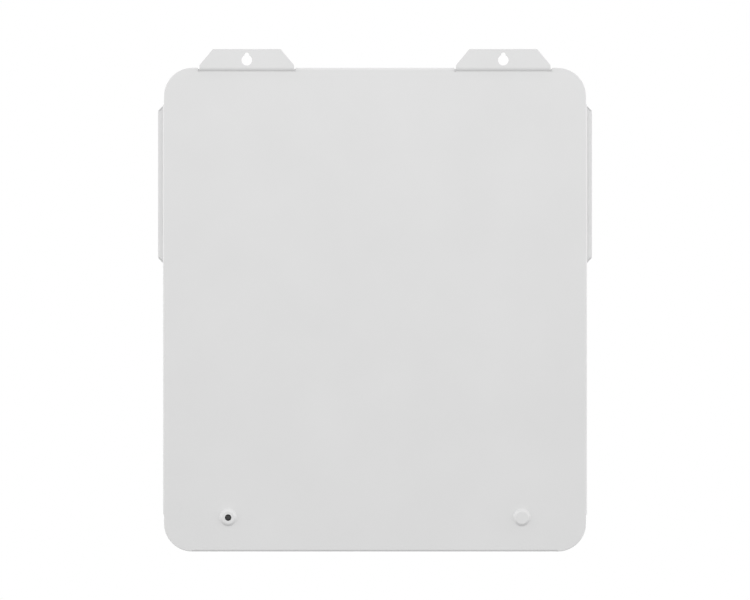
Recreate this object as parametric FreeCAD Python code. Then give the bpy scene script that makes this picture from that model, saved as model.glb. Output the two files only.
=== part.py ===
"""Wall battery unit: a folded sheet-metal case that hangs by two keyhole tabs, with sixteen prismatic
cells, a battery management board, a two-pole breaker behind a hinged door, a push button, and an open
cable bay along the bottom edge.

Millimetres, +Z up, +Y towards the wall and the front cover facing -Y. While it is being modelled,
heights are counted up from the unit's bottom edge. write() then moves every part so that the origin
lies on the wall plane, half way between the two keyholes' entry holes.
"""

import FreeCAD
import Part
import math
import os

# --- driving dimensions -------------------------------------------------------------------------------
SHEET = 1.2  # gauge of the folded case
WIDTH = 494.0  # case, without the side flanges and the handle hoods
HEIGHT = 566.0  # rear panel, without the tabs
CORNER = 33.0  # corner radius of the case
STANDOFF = 3.0  # the rear panel stands this far off the wall
DEPTH = 152.0  # from the rear panel to the rim of the front cover
BEND = 1.2  # inside radius of a fold

# rear panel
TAB_SPACING = 300.0
TAB_WIDTH = 110.7
TAB_RISE = 21.7  # tab above the case's top edge
TAB_STRAIGHT = 2.9  # height of the tab's upright sides
TAB_SLANT = 15.8  # width of each slanted shoulder
TAB_CORNER = 2.0
JOGGLE_LOW = 4.2  # the joggle starts this far below the top edge
JOGGLE_HIGH = 2.1  # its upper corner lies this far below it
JOGGLE_BENDS = (0.3, 3.3)  # inside radii at its lower and its upper corner
KEY_RISE = 8.75  # entry hole above the case's top edge
KEY_RADIUS = 6.2
KEY_SLOT_RADIUS = 2.65
KEY_SLOT_RISE = 6.2  # slot's end centre above the entry hole's centre
RELIEF = 1.8  # width of the notch beside each tab
RELIEF_DEPTH = 0.8  # the notch goes this far below the joggle
DIMPLE_X = 171.8
DIMPLE_Z = 39.7
DIMPLE_BASE = 10.2
DIMPLE_TOP = 7.5
DIMPLE_BEND = 0.8  # inside radius of its two folds
DIMPLE_BRIM = 4.0  # flat ring of panel made with the dimple
FIXING_RADIUS = 3.8
SIDE_FLANGE_MARGIN = 43.0  # the side flanges stop this far from the top and the bottom
SIDE_FLANGE = 18.0
END_FLANGE = 14.0
FOLD_STRIP = 8.0  # each folded edge is made with this width of the panel
EDGE_ROUND = 1.0  # on the rear panel's corners, which aren't folded

# shell and covers
REAR_LIP = 14.0
FRONT_LIP = 22.0
RIM_DEPTH = 6.0  # depth of the front covers' rims
REVEAL = 1.0  # open joint between the shell and the covers
COVER_SHEET = 1.5
COVER_EDGE = 3.0  # outside radius along the covers' front edges
FIELD_RISE = 2.0  # the pressed field stands this far proud of the front cover
FIELD_MARGIN = 30.0
BAY_ROOF = 62.0  # height of the cable bay
BAY_MOUTH_X = 190.0  # half width of the mouth in the bottom wall
SCREW_LINE = 6.5  # cover screws, in from the case's edge
NUT_HOLE = 3.05  # for the cover screws' rivet nuts
BAY_NUT_HOLE = 3.55  # for the thumb screws' rivet nuts
GASKET_IN = 13.0  # the seal's outer edge, in from the case's edge
GASKET_WIDTH = 8.0

# handle hoods and grip cups
HOOD_PROUD = 7.5
HOOD_TOP = 42.2  # upper end below the case's top edge
HOOD_LENGTH = 188.0
HOOD_DEPTH = 102.0
HOOD_GAP = 3.0  # between the rear panel's flange and the hood
SEAM = 0.3  # open seam between a hood's end ramps and its cheeks
GRIP_LENGTH = 126.0
GRIP_WIDTH = 76.0
GRIP_CORNER = 12.0
CUP_WALL = 2.0
CUP_FLOOR_X = 222.0
CUP_FILLET = 5.0  # round the cup's floor
CUP_RIM = 8.0  # the rim reaches this far past the grip opening
CLIP_OFFSET = 40.0  # clips above and below the grip's middle
CLIP_WIDTH = 12.0
CLIP_REACH = 2.0
CLIP_RAMP = 8.0

# cells, two columns of eight
CELL_ROWS = 8
CELL_HEIGHT = 200.0
CELL_WIDTH = 130.0
CELL_THICK = 36.4
CELL_PITCH = 37.0
CELL_FILLET = 2.5
CELL_VENT = (14.0, 6.0)  # half sizes of the safety vent's oval
CELL_VENT_DEPTH = 0.6
COLUMN_GAP = 26.0  # between the two columns' terminal faces
POST_OFFSET = 35.0
POST_SIZE = 16.0
POST_RISE = 3.0
LINK_THICK = 2.0
STACK_FLOOR = 248.0
STACK_REAR = -12.0
END_PLATE = 4.0
STRAP = 1.0
STRAP_HALF = 10.0  # half width
STRAP_PLACES = (62.0, 165.0)
SHELF_SHEET = 2.0
SHELF_SIDE = 26.0  # height of its folded sides
BAR_THICK = 2.5
BAR_FOOT = 225.0

# control fascia on the front cover
FASCIA_X = 170.0  # half width
FASCIA_Z = 145.0  # centre height
FASCIA_HALF = 57.0  # half height
FASCIA_CORNER = 12.0
FASCIA_PLATE = 3.0
FASCIA_PROUD = 1.5
DOOR_X = 130.0
DOOR_HALF_WIDTH = 33.0
DOOR_BOTTOM = 99.0
DOOR_TOP = 189.0
DOOR_THICK = 2.5
HINGE_RADIUS = 1.5
HINGE_DROP = 5.0  # hinge pin below the pocket's top
KNUCKLE_RADIUS = 3.2
LEVER_HALF = 14.0  # half width of the two poles' joined lever
LEVER_SWING = 50.0
LEVER_PIN_RADIUS = 1.5
PIN_INSET = 0.5  # the lever's pin ends this far inside the breaker's sides
NOSE_DEPTH = 10.5  # from the fascia's face to the breaker's nose
BUTTON_X = 34.0
BUTTON_RADIUS = 6.2
BEZEL_RISE = 1.8
WINDOW_X = -80.0
WINDOW_HALF = 64.0
WINDOW_RADIUS = 7.0
LIGHT_COUNT = 6
LIGHT_PITCH = 20.0

# electronics compartment
TRAY_Y = -30.0
TRAY_SHEET = 1.5
TRAY_HALF = 215.0
BOARD_X = (-205.0, -5.0)
BOARD_Z = (92.0, 222.0)
BOARD_Y = -41.5
BOARD_THICK = 1.6
RAIL_Y = -78.0
RAIL_HALF = 17.5
RAIL_HEIGHT = 7.5
RAIL_LENGTH = 100.0
RAIL_SCREWS = (92.0, 168.0)
BREAKER_WIDTH = 36.0
BREAKER_HALF_HEIGHT = 41.0
BREAKER_SHOULDER_Y = -126.0
NOSE_HALF = 22.5  # half height of the breaker's nose
POLE_OFFSET = 9.0
TERMINAL_Y = -106.0
STUD_BLOCKS = (-60.0, -24.0)
STUD_BLOCK_Z = 113.0
HEADERS = ((-180.0, 24.0), (-148.0, 24.0), (-118.0, 18.0), (-92.0, 12.0))  # x and width
HEADER_Z = 102.5
MOSFET_ROWS = (150.0, 178.0)
MOSFET_COUNT = 8
MOSFET_START = -184.0
MOSFET_PITCH = 20.0
MOSFET_RISE = 4.4
FIN_COUNT = 18
FIN_PITCH = 9.1
FUSE_X = 70.0
FUSE_BOLT = 32.0  # blade holes, out from the fuse's middle
CABLE_RADIUS = 4.0
LOOM_Y = -50.0
LOOM_RADIUS = 2.5

# cable bay
BAY_Y = -85.0
PLUS_X = 121.0
MINUS_X = 76.0
SOCKET_BORE = 12.0
CONTACT_RADIUS = 4.5
SOCKET_SCREW_HOLE = 1.7
STUD_TOP = 30.0  # socket studs above the bay roof
PORTS_X = -110.0
VENT_X = -25.0
EARTH_X = -173.0

# --- planes that follow from them ---------------------------------------------------------------------
Y_BACK = -STANDOFF  # rear panel, wall side
Y_IN = Y_BACK - SHEET  # rear panel, cell side
Y_FRONT = Y_BACK - DEPTH
Y_FIELD = Y_FRONT - FIELD_RISE
Y_RIM = Y_FRONT + RIM_DEPTH
Y_LIP = Y_RIM + REVEAL  # shell's front face
Y_FASCIA = Y_FIELD - FASCIA_PROUD
HALF = WIDTH / 2
SHELL_LOW = SHEET
SHELL_HIGH = HEIGHT - SHEET
COVER_LOW = BAY_ROOF + 1.0
HOOD_HIGH = HEIGHT - HOOD_TOP
HOOD_LOW = HOOD_HIGH - HOOD_LENGTH
HOOD_REAR = Y_BACK - SIDE_FLANGE - HOOD_GAP
HOOD_FRONT = HOOD_REAR - HOOD_DEPTH
GRIP_Z = (HOOD_LOW + HOOD_HIGH) / 2
GRIP_Y = (HOOD_REAR + HOOD_FRONT) / 2
COLUMN_IN = COLUMN_GAP / 2
COLUMN_OUT = COLUMN_IN + CELL_HEIGHT
STACK_FRONT = STACK_REAR - CELL_WIDTH
STACK_Y = (STACK_REAR + STACK_FRONT) / 2
STACK_TOP = STACK_FLOOR + CELL_ROWS * CELL_PITCH
SHELF_TOP = STACK_FLOOR - END_PLATE - STRAP
HINGE_Z = DOOR_TOP - HINGE_DROP
HINGE_Y = Y_FASCIA + 3.4
Y_NOSE = Y_FASCIA + NOSE_DEPTH
LEVER_PIVOT_Y = Y_NOSE + 8
TERMINAL_PLANE = STACK_Y - POST_OFFSET  # the output terminals' middle, from the wall
TRAY_FACE = TRAY_Y - TRAY_SHEET
BOARD_FACE = BOARD_Y - BOARD_THICK
FUSE_Z = BAR_FOOT - 2
ORIGIN_Z = HEIGHT + KEY_RISE

X, Y, Z = FreeCAD.Vector(1, 0, 0), FreeCAD.Vector(0, 1, 0), FreeCAD.Vector(0, 0, 1)


# --- general helpers ----------------------------------------------------------------------------------
def vec(x, y, z):
    return FreeCAD.Vector(x, y, z)


def box(x, y, z):
    """Block between pairs of limits."""
    (x0, x1), (y0, y1), (z0, z1) = sorted(x), sorted(y), sorted(z)
    return Part.makeBox(x1 - x0, y1 - y0, z1 - z0, vec(x0, y0, z0))


def rod(radius, start, direction, length):
    return Part.makeCylinder(radius, length, start, direction)


def hexagon(across, start, direction, length):
    """Hexagonal prism of this size across flats."""
    turn = FreeCAD.Rotation(Z, direction)
    corner = across / 2 / math.cos(math.pi / 6)
    points = []
    for i in range(6):
        angle = math.radians(60 * i)
        points.append(start + turn.multVec(vec(corner * math.cos(angle), corner * math.sin(angle), 0)))
    return Part.Face(Part.makePolygon(points + points[:1])).extrude(direction * length)


def rounded_face(corners, place):
    """Face inside a closed outline. A corner is (u, v, radius), and place(u, v) puts it in space."""
    spans = []
    for i, (u, v, radius) in enumerate(corners):
        here = vec(u, v, 0)
        if radius == 0:
            spans.append((here, here, here))
            continue
        last, following = corners[i - 1], corners[(i + 1) % len(corners)]
        before = (vec(last[0], last[1], 0) - here).normalize()
        after = (vec(following[0], following[1], 0) - here).normalize()
        half_angle = before.getAngle(after) / 2
        inward = (before + after).normalize()
        reach = radius / math.tan(half_angle)
        middle = here + inward * (radius / math.sin(half_angle) - radius)
        spans.append((here + before * reach, middle, here + after * reach))
    edges = []
    for i, (start, middle, end) in enumerate(spans):
        last = spans[i - 1][2]
        if (start - last).Length > 1e-6:
            edges.append(Part.LineSegment(place(last.x, last.y), place(start.x, start.y)).toShape())
        if (end - start).Length > 1e-6:
            points = [place(p.x, p.y) for p in (start, middle, end)]
            edges.append(Part.Arc(*points).toShape())
    return Part.Face(Part.Wire(Part.__sortEdges__(edges)))


def slab(x, z, radius, y):
    """Plate parallel to the wall. radius is one number, or one each for the corners from low left round."""
    (x0, x1), (z0, z1), (y0, y1) = sorted(x), sorted(z), sorted(y)
    r = radius if isinstance(radius, tuple) else (radius,) * 4
    corners = [(x0, z0, r[0]), (x1, z0, r[1]), (x1, z1, r[2]), (x0, z1, r[3])]
    return rounded_face(corners, lambda u, v: vec(u, y0, v)).extrude(Y * (y1 - y0))


def side_slab(x, y, z, radius):
    """Plate parallel to the case's side walls."""
    (x0, x1), (y0, y1), (z0, z1) = sorted(x), sorted(y), sorted(z)
    corners = [(y0, z0, radius), (y1, z0, radius), (y1, z1, radius), (y0, z1, radius)]
    return rounded_face(corners, lambda u, v: vec(x0, u, v)).extrude(X * (x1 - x0))


def floor_slab(x, y, z, radius):
    """Plate parallel to the floor."""
    (x0, x1), (y0, y1), (z0, z1) = sorted(x), sorted(y), sorted(z)
    corners = [(x0, y0, radius), (x1, y0, radius), (x1, y1, radius), (x0, y1, radius)]
    return rounded_face(corners, lambda u, v: vec(u, v, z0)).extrude(Z * (z1 - z0))


def strip_corners(path, thickness, bend):
    """Section of a sheet folded along an open path, with the sheet on the path's left hand.

    bend is the folds' inside radius, or one for each fold.
    """
    points = [vec(u, v, 0) for u, v in path]
    bends = bend if isinstance(bend, tuple) else (bend,) * (len(path) - 2)
    legs = [(b - a).normalize() for a, b in zip(points, points[1:])]
    lefts = [vec(-leg.y, leg.x, 0) for leg in legs]
    near = [(points[0].x, points[0].y, 0)]
    far = [points[0] + lefts[0] * thickness]
    far_radii = [0]
    for i in range(1, len(points) - 1):
        turn = legs[i - 1].x * legs[i].y - legs[i - 1].y * legs[i].x
        mitre = (lefts[i - 1] + lefts[i]).normalize()
        reach = thickness / mitre.dot(lefts[i])
        inner, outer = bends[i - 1], bends[i - 1] + thickness
        near.append((points[i].x, points[i].y, outer if turn > 0 else inner))
        far.append(points[i] + mitre * reach)
        far_radii.append(inner if turn > 0 else outer)
    near.append((points[-1].x, points[-1].y, 0))
    far.append(points[-1] + lefts[-1] * thickness)
    far_radii.append(0)
    back = [(p.x, p.y, r) for p, r in zip(far, far_radii)]
    return near + back[::-1]


def folded(path, place, along, thickness=SHEET, bend=BEND):
    """Sheet folded along a path and extruded."""
    return rounded_face(strip_corners(path, thickness, bend), place).extrude(along)


def mirrored(shape):
    """The other side's copy, across the unit's middle plane."""
    return shape.mirror(vec(0, 0, 0), X)


def joined(shapes):
    """One solid from pieces that meet or overlap."""
    first = shapes[0].fuse(shapes[1:])
    return first.removeSplitter()


def round_edges(shape, radius, chosen):
    """Fillets the edges whose middle satisfies chosen(point)."""
    edges = [e for e in shape.Edges if chosen(e.valueAt((e.FirstParameter + e.LastParameter) / 2))]
    return shape.makeFillet(radius, edges)


def near(a, b, tolerance=0.05):
    return abs(a - b) < tolerance


def cable(route, radius):
    """Round cable along straight runs joined by arcs as large as the runs allow."""
    points = [vec(*p) for p in route]
    edges = []
    start = points[0]
    for before, here, after in zip(points, points[1:], points[2:]):
        back = (before - here).normalize()
        ahead = (after - here).normalize()
        reach = 0.45 * min((before - here).Length, (after - here).Length)
        half_angle = back.getAngle(ahead) / 2
        sag = reach / math.cos(half_angle) - reach * math.tan(half_angle)
        middle = here + (back + ahead).normalize() * sag
        first, last = here + back * reach, here + ahead * reach
        edges.append(Part.LineSegment(start, first).toShape())
        edges.append(Part.Arc(first, middle, last).toShape())
        start = last
    edges.append(Part.LineSegment(start, points[-1]).toShape())
    circle = Part.Wire(Part.makeCircle(radius, points[0], points[1] - points[0]))
    return Part.Wire(edges).makePipeShell([circle], True, False)


def button_screw(shank, length, head, rise, start, direction):
    """Button-head screw with a hexagon socket, from under its head at start along direction."""
    cap = rod(head, start, direction * -1, rise)
    rim = [e for e in cap.Edges if near((e.CenterOfMass - start).dot(direction * -1), rise, 0.01)]
    cap = cap.makeFillet(rise * 0.55, rim)
    socket = hexagon(head * 0.62, start + direction * (-rise - 0.1), direction, rise * 0.75)
    return cap.fuse(rod(shank, start, direction, length)).cut(socket)


# --- case ---------------------------------------------------------------------------------------------
def key_hole(x):
    """Cutter for an entry hole with its slot above."""
    low, high = HEIGHT + KEY_RISE, HEIGHT + KEY_RISE + KEY_SLOT_RISE
    reach = (-3 * SHEET, SHEET)
    start = vec(x, reach[0], low)
    slot = box((x - KEY_SLOT_RADIUS, x + KEY_SLOT_RADIUS), reach, (low, high))
    end = rod(KEY_SLOT_RADIUS, vec(x, reach[0], high), Y, reach[1] - reach[0])
    return rod(KEY_RADIUS, start, Y, reach[1] - reach[0]).fuse([slot, end])


def tab(x):
    """Wall tab folded out of the rear panel to lie on the wall plane."""
    top = HEIGHT + TAB_RISE
    left, right = x - TAB_WIDTH / 2, x + TAB_WIDTH / 2
    foot = HEIGHT - FOLD_STRIP
    path = [(Y_BACK, foot), (Y_BACK, HEIGHT - JOGGLE_LOW), (0, HEIGHT - JOGGLE_HIGH), (0, top)]
    sheet = folded(path, lambda u, v: vec(left, u, v), X * TAB_WIDTH, bend=JOGGLE_BENDS)
    shoulder = HEIGHT + TAB_STRAIGHT
    outline = [
        (left, foot, 0),
        (right, foot, 0),
        (right, shoulder, TAB_CORNER),
        (right - TAB_SLANT, top, TAB_CORNER),
        (left + TAB_SLANT, top, TAB_CORNER),
        (left, shoulder, TAB_CORNER),
    ]
    start = Y_IN - 1
    blank = rounded_face(outline, lambda u, v: vec(u, start, v)).extrude(Y * (1 - start))
    return sheet.common(blank).cut(key_hole(x))


def dimple(x, hole):
    """Pressed dome that rests on the wall, open at its crown if hole is a radius."""
    brim = DIMPLE_BASE + DIMPLE_BRIM
    path = [(brim, Y_BACK), (DIMPLE_BASE, Y_BACK), (DIMPLE_TOP, 0), (hole, 0)]
    face = rounded_face(strip_corners(path, SHEET, DIMPLE_BEND), lambda u, v: vec(x + u, v, DIMPLE_Z))
    return face.revolve(vec(x, 0, DIMPLE_Z), Y, 360), rod(brim, vec(x, Y_IN - 1, DIMPLE_Z), Y, SHEET + 2)


def rear_panel():
    """Panel with its folded flanges, the two wall tabs and the two dimples, all of one sheet."""
    fold = FOLD_STRIP
    panel = slab((-HALF, HALF), (0, HEIGHT), CORNER, (Y_IN, Y_BACK))
    panel = round_edges(panel, EDGE_ROUND, lambda p: near(p.y, Y_BACK))
    side_span = (SIDE_FLANGE_MARGIN, HEIGHT - SIDE_FLANGE_MARGIN)
    tab_in = (TAB_SPACING - TAB_WIDTH) / 2
    tab_out = (TAB_SPACING + TAB_WIDTH) / 2
    top_half = tab_in - RELIEF
    bottom_half = HALF - CORNER
    through = (Y_IN - 1, Y_BACK + 1)
    notch_floor = HEIGHT - JOGGLE_LOW - RELIEF_DEPTH
    pieces = []
    for side in (1, -1):
        panel = panel.cut(box((side * (HALF - fold), side * (HALF + 1)), through, side_span))
        panel = panel.cut(box((side * tab_in, side * tab_out), through, (HEIGHT - fold, HEIGHT + 1)))
        for notch in (tab_in - RELIEF, tab_out):
            limits = (side * notch, side * (notch + RELIEF))
            panel = panel.cut(box(limits, through, (notch_floor, HEIGHT + 1)))
    panel = panel.cut(box((-top_half, top_half), through, (HEIGHT - fold, HEIGHT + 1)))
    panel = panel.cut(box((-bottom_half, bottom_half), through, (-1, fold)))
    side_path = [(HALF + SHEET, Y_BACK - SIDE_FLANGE), (HALF + SHEET, Y_BACK), (HALF - fold, Y_BACK)]
    length = Z * (side_span[1] - side_span[0])
    flange = folded(side_path, lambda u, v: vec(u, v, side_span[0]), length)
    pieces += [flange, mirrored(flange)]
    top_path = [(HEIGHT, Y_BACK - END_FLANGE), (HEIGHT, Y_BACK), (HEIGHT - fold, Y_BACK)]
    pieces.append(folded(top_path, lambda u, v: vec(-top_half, v, u), X * (2 * top_half)))
    low_path = [(0, Y_BACK - END_FLANGE), (0, Y_BACK), (-fold, Y_BACK)]
    pieces.append(folded(low_path, lambda u, v: vec(-bottom_half, v, -u), X * (2 * bottom_half)))
    pieces += [tab(TAB_SPACING / 2), tab(-TAB_SPACING / 2)]
    for x, hole in ((DIMPLE_X, FIXING_RADIUS), (-DIMPLE_X, 0)):
        dome, seat = dimple(x, hole)
        panel = panel.cut(seat)
        pieces.append(dome)
    return joined([panel] + pieces)


def grip_pocket(x, grow):
    """Block of the grip's outline, grown by this much all round."""
    return side_slab(
        x,
        (GRIP_Y - GRIP_WIDTH / 2 - grow, GRIP_Y + GRIP_WIDTH / 2 + grow),
        (GRIP_Z - GRIP_LENGTH / 2 - grow, GRIP_Z + GRIP_LENGTH / 2 + grow),
        GRIP_CORNER + grow,
    )


def shell_opening(side):
    """Cutter for the hole that a grip cup passes through."""
    return grip_pocket((side * (HALF - 5), side * (HALF + 5)), CUP_WALL + 0.5)


def case_shell():
    """Ring round the cells, with lips turned in at the front and the rear."""
    outer = slab((-HALF, HALF), (SHELL_LOW, SHELL_HIGH), CORNER, (Y_LIP, Y_IN))
    outer = round_edges(outer, 1.8, lambda p: near(p.y, Y_IN))
    outer = round_edges(outer, 1.5, lambda p: near(p.y, Y_LIP))
    inside = (-HALF + SHEET, HALF - SHEET)
    heights = (SHELL_LOW + SHEET, SHELL_HIGH - SHEET)
    ring = outer.cut(slab(inside, heights, CORNER - SHEET, (Y_LIP + SHEET, Y_IN - SHEET)))
    rear = (-HALF + REAR_LIP, HALF - REAR_LIP)
    rear_z = (SHELL_LOW + REAR_LIP, SHELL_HIGH - REAR_LIP)
    ring = ring.cut(slab(rear, rear_z, CORNER - REAR_LIP, (Y_IN - 5, Y_IN + 1)))
    front = (-HALF + FRONT_LIP, HALF - FRONT_LIP)
    front_z = (SHELL_LOW + FRONT_LIP, SHELL_HIGH - FRONT_LIP)
    ring = ring.cut(slab(front, front_z, CORNER - FRONT_LIP, (Y_LIP - 1, Y_LIP + 5)))
    mouth = floor_slab((-BAY_MOUTH_X, BAY_MOUTH_X), (Y_LIP + 20, Y_IN - 18), (0, 10), 12)
    ring = ring.cut([mouth, shell_opening(1), shell_opening(-1)])
    for x, z in cover_screw_places():
        ring = ring.cut(rod(NUT_HOLE, vec(x, Y_LIP - 1, z), Y, 5))
    for x, z in bay_screw_places():
        ring = ring.cut(rod(BAY_NUT_HOLE, vec(x, Y_LIP - 1, z), Y, 5))
    return ring


def bay_roof():
    """Floor of the sealed compartment, with a front flange that carries the seal."""
    wide = HALF - SHEET - 0.2
    rear = Y_IN - SHEET - 0.2
    low, high = BAY_ROOF, BAY_ROOF + FRONT_LIP
    front_in = HALF - FRONT_LIP - 0.2
    path = [(Y_LIP, high), (Y_LIP, low), (rear, low)]
    plate = folded(path, lambda u, v: vec(-wide, u, v), X * (2 * wide))
    corner = box((front_in, wide + 1), (Y_LIP - 1, Y_LIP + SHEET + 1.5), (low - 1, high + 1))
    plate = plate.cut([corner, mirrored(corner)])
    for x in (PLUS_X, MINUS_X):
        plate = plate.cut(rod(13.2, vec(x, BAY_Y, low - 1), Z, 4))
        for sx, sy in socket_screw_places(x):
            plate = plate.cut(rod(SOCKET_SCREW_HOLE, vec(sx, sy, low - 1), Z, 4))
    plate = plate.cut(box((PORTS_X - 39, PORTS_X + 39), (BAY_Y - 10, BAY_Y + 10), (low - 1, low + 3)))
    plate = plate.cut(rod(6.1, vec(VENT_X, BAY_Y, low - 1), Z, 4))
    plate = plate.cut(rod(3.2, vec(EARTH_X, BAY_Y, low - 1), Z, 4))
    for x, z in lower_screw_places():
        plate = plate.cut(rod(NUT_HOLE, vec(x, Y_LIP - 1, z), Y, 4))
    return plate


def cover_screw_places():
    """Cover screws that go into the shell's front lip, as (x, height)."""
    side = HALF - SCREW_LINE
    heights = (120, 225, 330, 435)
    places = [(s * side, z) for s in (-1, 1) for z in heights]
    return places + [(x, SHELL_HIGH - SCREW_LINE) for x in (-190, -63, 63, 190)]


def lower_screw_places():
    """Cover screws that go into the bay roof's flange."""
    return [(x, COVER_LOW + SCREW_LINE) for x in (-180, -60, 60, 180)]


def bay_screw_places():
    return [(s * (HALF - 9), 46) for s in (-1, 1)]


def tray_cover(x, z, corners, field=None):
    """Shallow folded cover with a rounded front edge, and a pressed field if one is given."""
    outside = slab(x, z, corners, (Y_FRONT, Y_RIM))
    outside = round_edges(outside, COVER_EDGE, lambda p: near(p.y, Y_FRONT))
    inner_x = (x[0] + COVER_SHEET, x[1] - COVER_SHEET)
    inner_z = (z[0] + COVER_SHEET, z[1] - COVER_SHEET)
    inner_corners = tuple(r - COVER_SHEET for r in corners)
    hollow = slab(inner_x, inner_z, inner_corners, (Y_FRONT + COVER_SHEET, Y_RIM + 1))
    hollow = round_edges(hollow, COVER_EDGE - COVER_SHEET, lambda p: near(p.y, Y_FRONT + COVER_SHEET))
    cover = outside.cut(hollow)
    if field:
        (fx, fz, radius) = field
        raised = slab(fx, fz, radius, (Y_FIELD, Y_FRONT + 0.5))
        raised = round_edges(raised, 1.6, lambda p: near(p.y, Y_FIELD))
        depth = COVER_SHEET
        sunk_x = (fx[0] + depth, fx[1] - depth)
        sunk_z = (fz[0] + depth, fz[1] - depth)
        sunk = slab(sunk_x, sunk_z, radius - depth, (Y_FIELD + COVER_SHEET, Y_FRONT + COVER_SHEET + 1))
        cover = cover.fuse(raised).cut(sunk)
    return cover


def front_cover():
    m = FIELD_MARGIN
    field = ((-HALF + m, HALF - m), (COVER_LOW + 18, SHELL_HIGH - m), 18.0)
    corners = (4.0, 4.0, CORNER, CORNER)
    cover = tray_cover((-HALF, HALF), (COVER_LOW, SHELL_HIGH), corners, field)
    opening = slab(
        (-FASCIA_X + 4, FASCIA_X - 4),
        (FASCIA_Z - FASCIA_HALF + 4, FASCIA_Z + FASCIA_HALF - 4),
        FASCIA_CORNER - 4,
        (Y_FIELD - 1, Y_FRONT + 5),
    )
    cover = cover.cut(opening)
    for x, z in cover_screw_places() + lower_screw_places():
        cover = cover.cut(rod(2.2, vec(x, Y_FRONT - 1, z), Y, 5))
    return cover


def cover_gasket():
    """Foam seal between the front cover and the shell's lip."""
    edge, width = GASKET_IN, GASKET_WIDTH
    low = COVER_LOW + SCREW_LINE + 6
    y = (Y_FRONT + COVER_SHEET, Y_LIP)
    out_x = (-HALF + edge, HALF - edge)
    in_x = (-HALF + edge + width, HALF - edge - width)
    top = SHELL_HIGH - edge
    outer = slab(out_x, (low, top), (6, 6, CORNER - edge, CORNER - edge), y)
    hole = slab(in_x, (low + width, top - width), (4, 4, CORNER - edge - width, CORNER - edge - width), y)
    return outer.cut(hole)


def cover_screws():
    places = cover_screw_places() + lower_screw_places()
    return [button_screw(2.0, 12.0, 3.8, 2.2, vec(x, Y_FRONT, z), Y) for x, z in places]


def rivet_nut(x, z, outer, bore):
    """Blind rivet nut set in the shell's lip."""
    barrel = rod(outer, vec(x, Y_LIP, z), Y, 11)
    collar = rod(outer + 1.4, vec(x, Y_LIP + SHEET, z), Y, 1.6)
    flange = rod(outer + 1.4, vec(x, Y_LIP - 0.7, z), Y, 0.7)
    return barrel.fuse([collar, flange]).cut(rod(bore, vec(x, Y_LIP - 1, z), Y, 14))


def rivet_nuts():
    places = cover_screw_places() + lower_screw_places()
    nuts = [rivet_nut(x, z, NUT_HOLE - 0.05, 2.05) for x, z in places]
    return nuts + [rivet_nut(x, z, BAY_NUT_HOLE - 0.05, 2.6) for x, z in bay_screw_places()]


def cable_cover():
    """Removable cover over the front of the cable bay."""
    corners = (CORNER, CORNER, 4.0, 4.0)
    cover = tray_cover((-HALF, HALF), (SHELL_LOW, BAY_ROOF), corners)
    for x, z in bay_screw_places():
        cover = cover.cut(rod(2.8, vec(x, Y_FRONT - 1, z), Y, 5))
    return cover


def cable_cover_screws():
    """Captive thumb screws with knurled heads."""
    screws = []
    for x, z in bay_screw_places():
        start = vec(x, Y_FRONT, z)
        head = rod(5.5, start, Y * -1, 4.5)
        head = round_edges(head, 0.8, lambda p: near(p.y, Y_FRONT - 4.5))
        for i in range(16):
            angle = math.tau * i / 16
            groove = vec(x + 5.7 * math.cos(angle), Y_FRONT - 5, z + 5.7 * math.sin(angle))
            head = head.cut(rod(0.55, groove, Y, 4.2))
        slot = box((x - 4, x + 4), (Y_FRONT - 5, Y_FRONT - 3.3), (z - 0.6, z + 0.6))
        screws.append(head.cut(slot).fuse(rod(2.5, start, Y, 14)))
    return screws


# --- handles ------------------------------------------------------------------------------------------
def handle_hood():
    """Folded hood on the side wall round the grip, with slanted ends and open seams at its cheeks."""
    out = HALF + HOOD_PROUD
    y_span = HOOD_REAR - HOOD_FRONT
    low, high = HOOD_LOW + HOOD_PROUD, HOOD_HIGH - HOOD_PROUD
    path = [(HALF, HOOD_LOW), (out, low), (out, high), (HALF, HOOD_HIGH)]
    skin = folded(path, lambda u, v: vec(u, HOOD_FRONT, v), Y * y_span, bend=0.6)
    gap = (SHEET + SEAM) * math.sqrt(2)
    inset = 0.2  # the cheeks stay this far behind the skin's outer face
    cheek_outline = [
        (HALF, HOOD_LOW + gap, 0),
        (out - inset, low + gap - inset, 0),
        (out - inset, high - gap + inset, 0),
        (HALF, HOOD_HIGH - gap, 0),
    ]
    cheek = rounded_face(cheek_outline, lambda u, v: vec(u, HOOD_REAR - SHEET, v)).extrude(Y * SHEET)
    front_cheek = cheek.translated(Y * (SHEET - y_span))
    hood = joined([skin, cheek, front_cheek])
    grip = grip_pocket((out - 3, out + 3), 0)
    inside = box((HALF - 5, HALF), (HOOD_FRONT - 1, HOOD_REAR + 1), (HOOD_LOW - 5, HOOD_HIGH + 5))
    return hood.cut([grip, inside])


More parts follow.
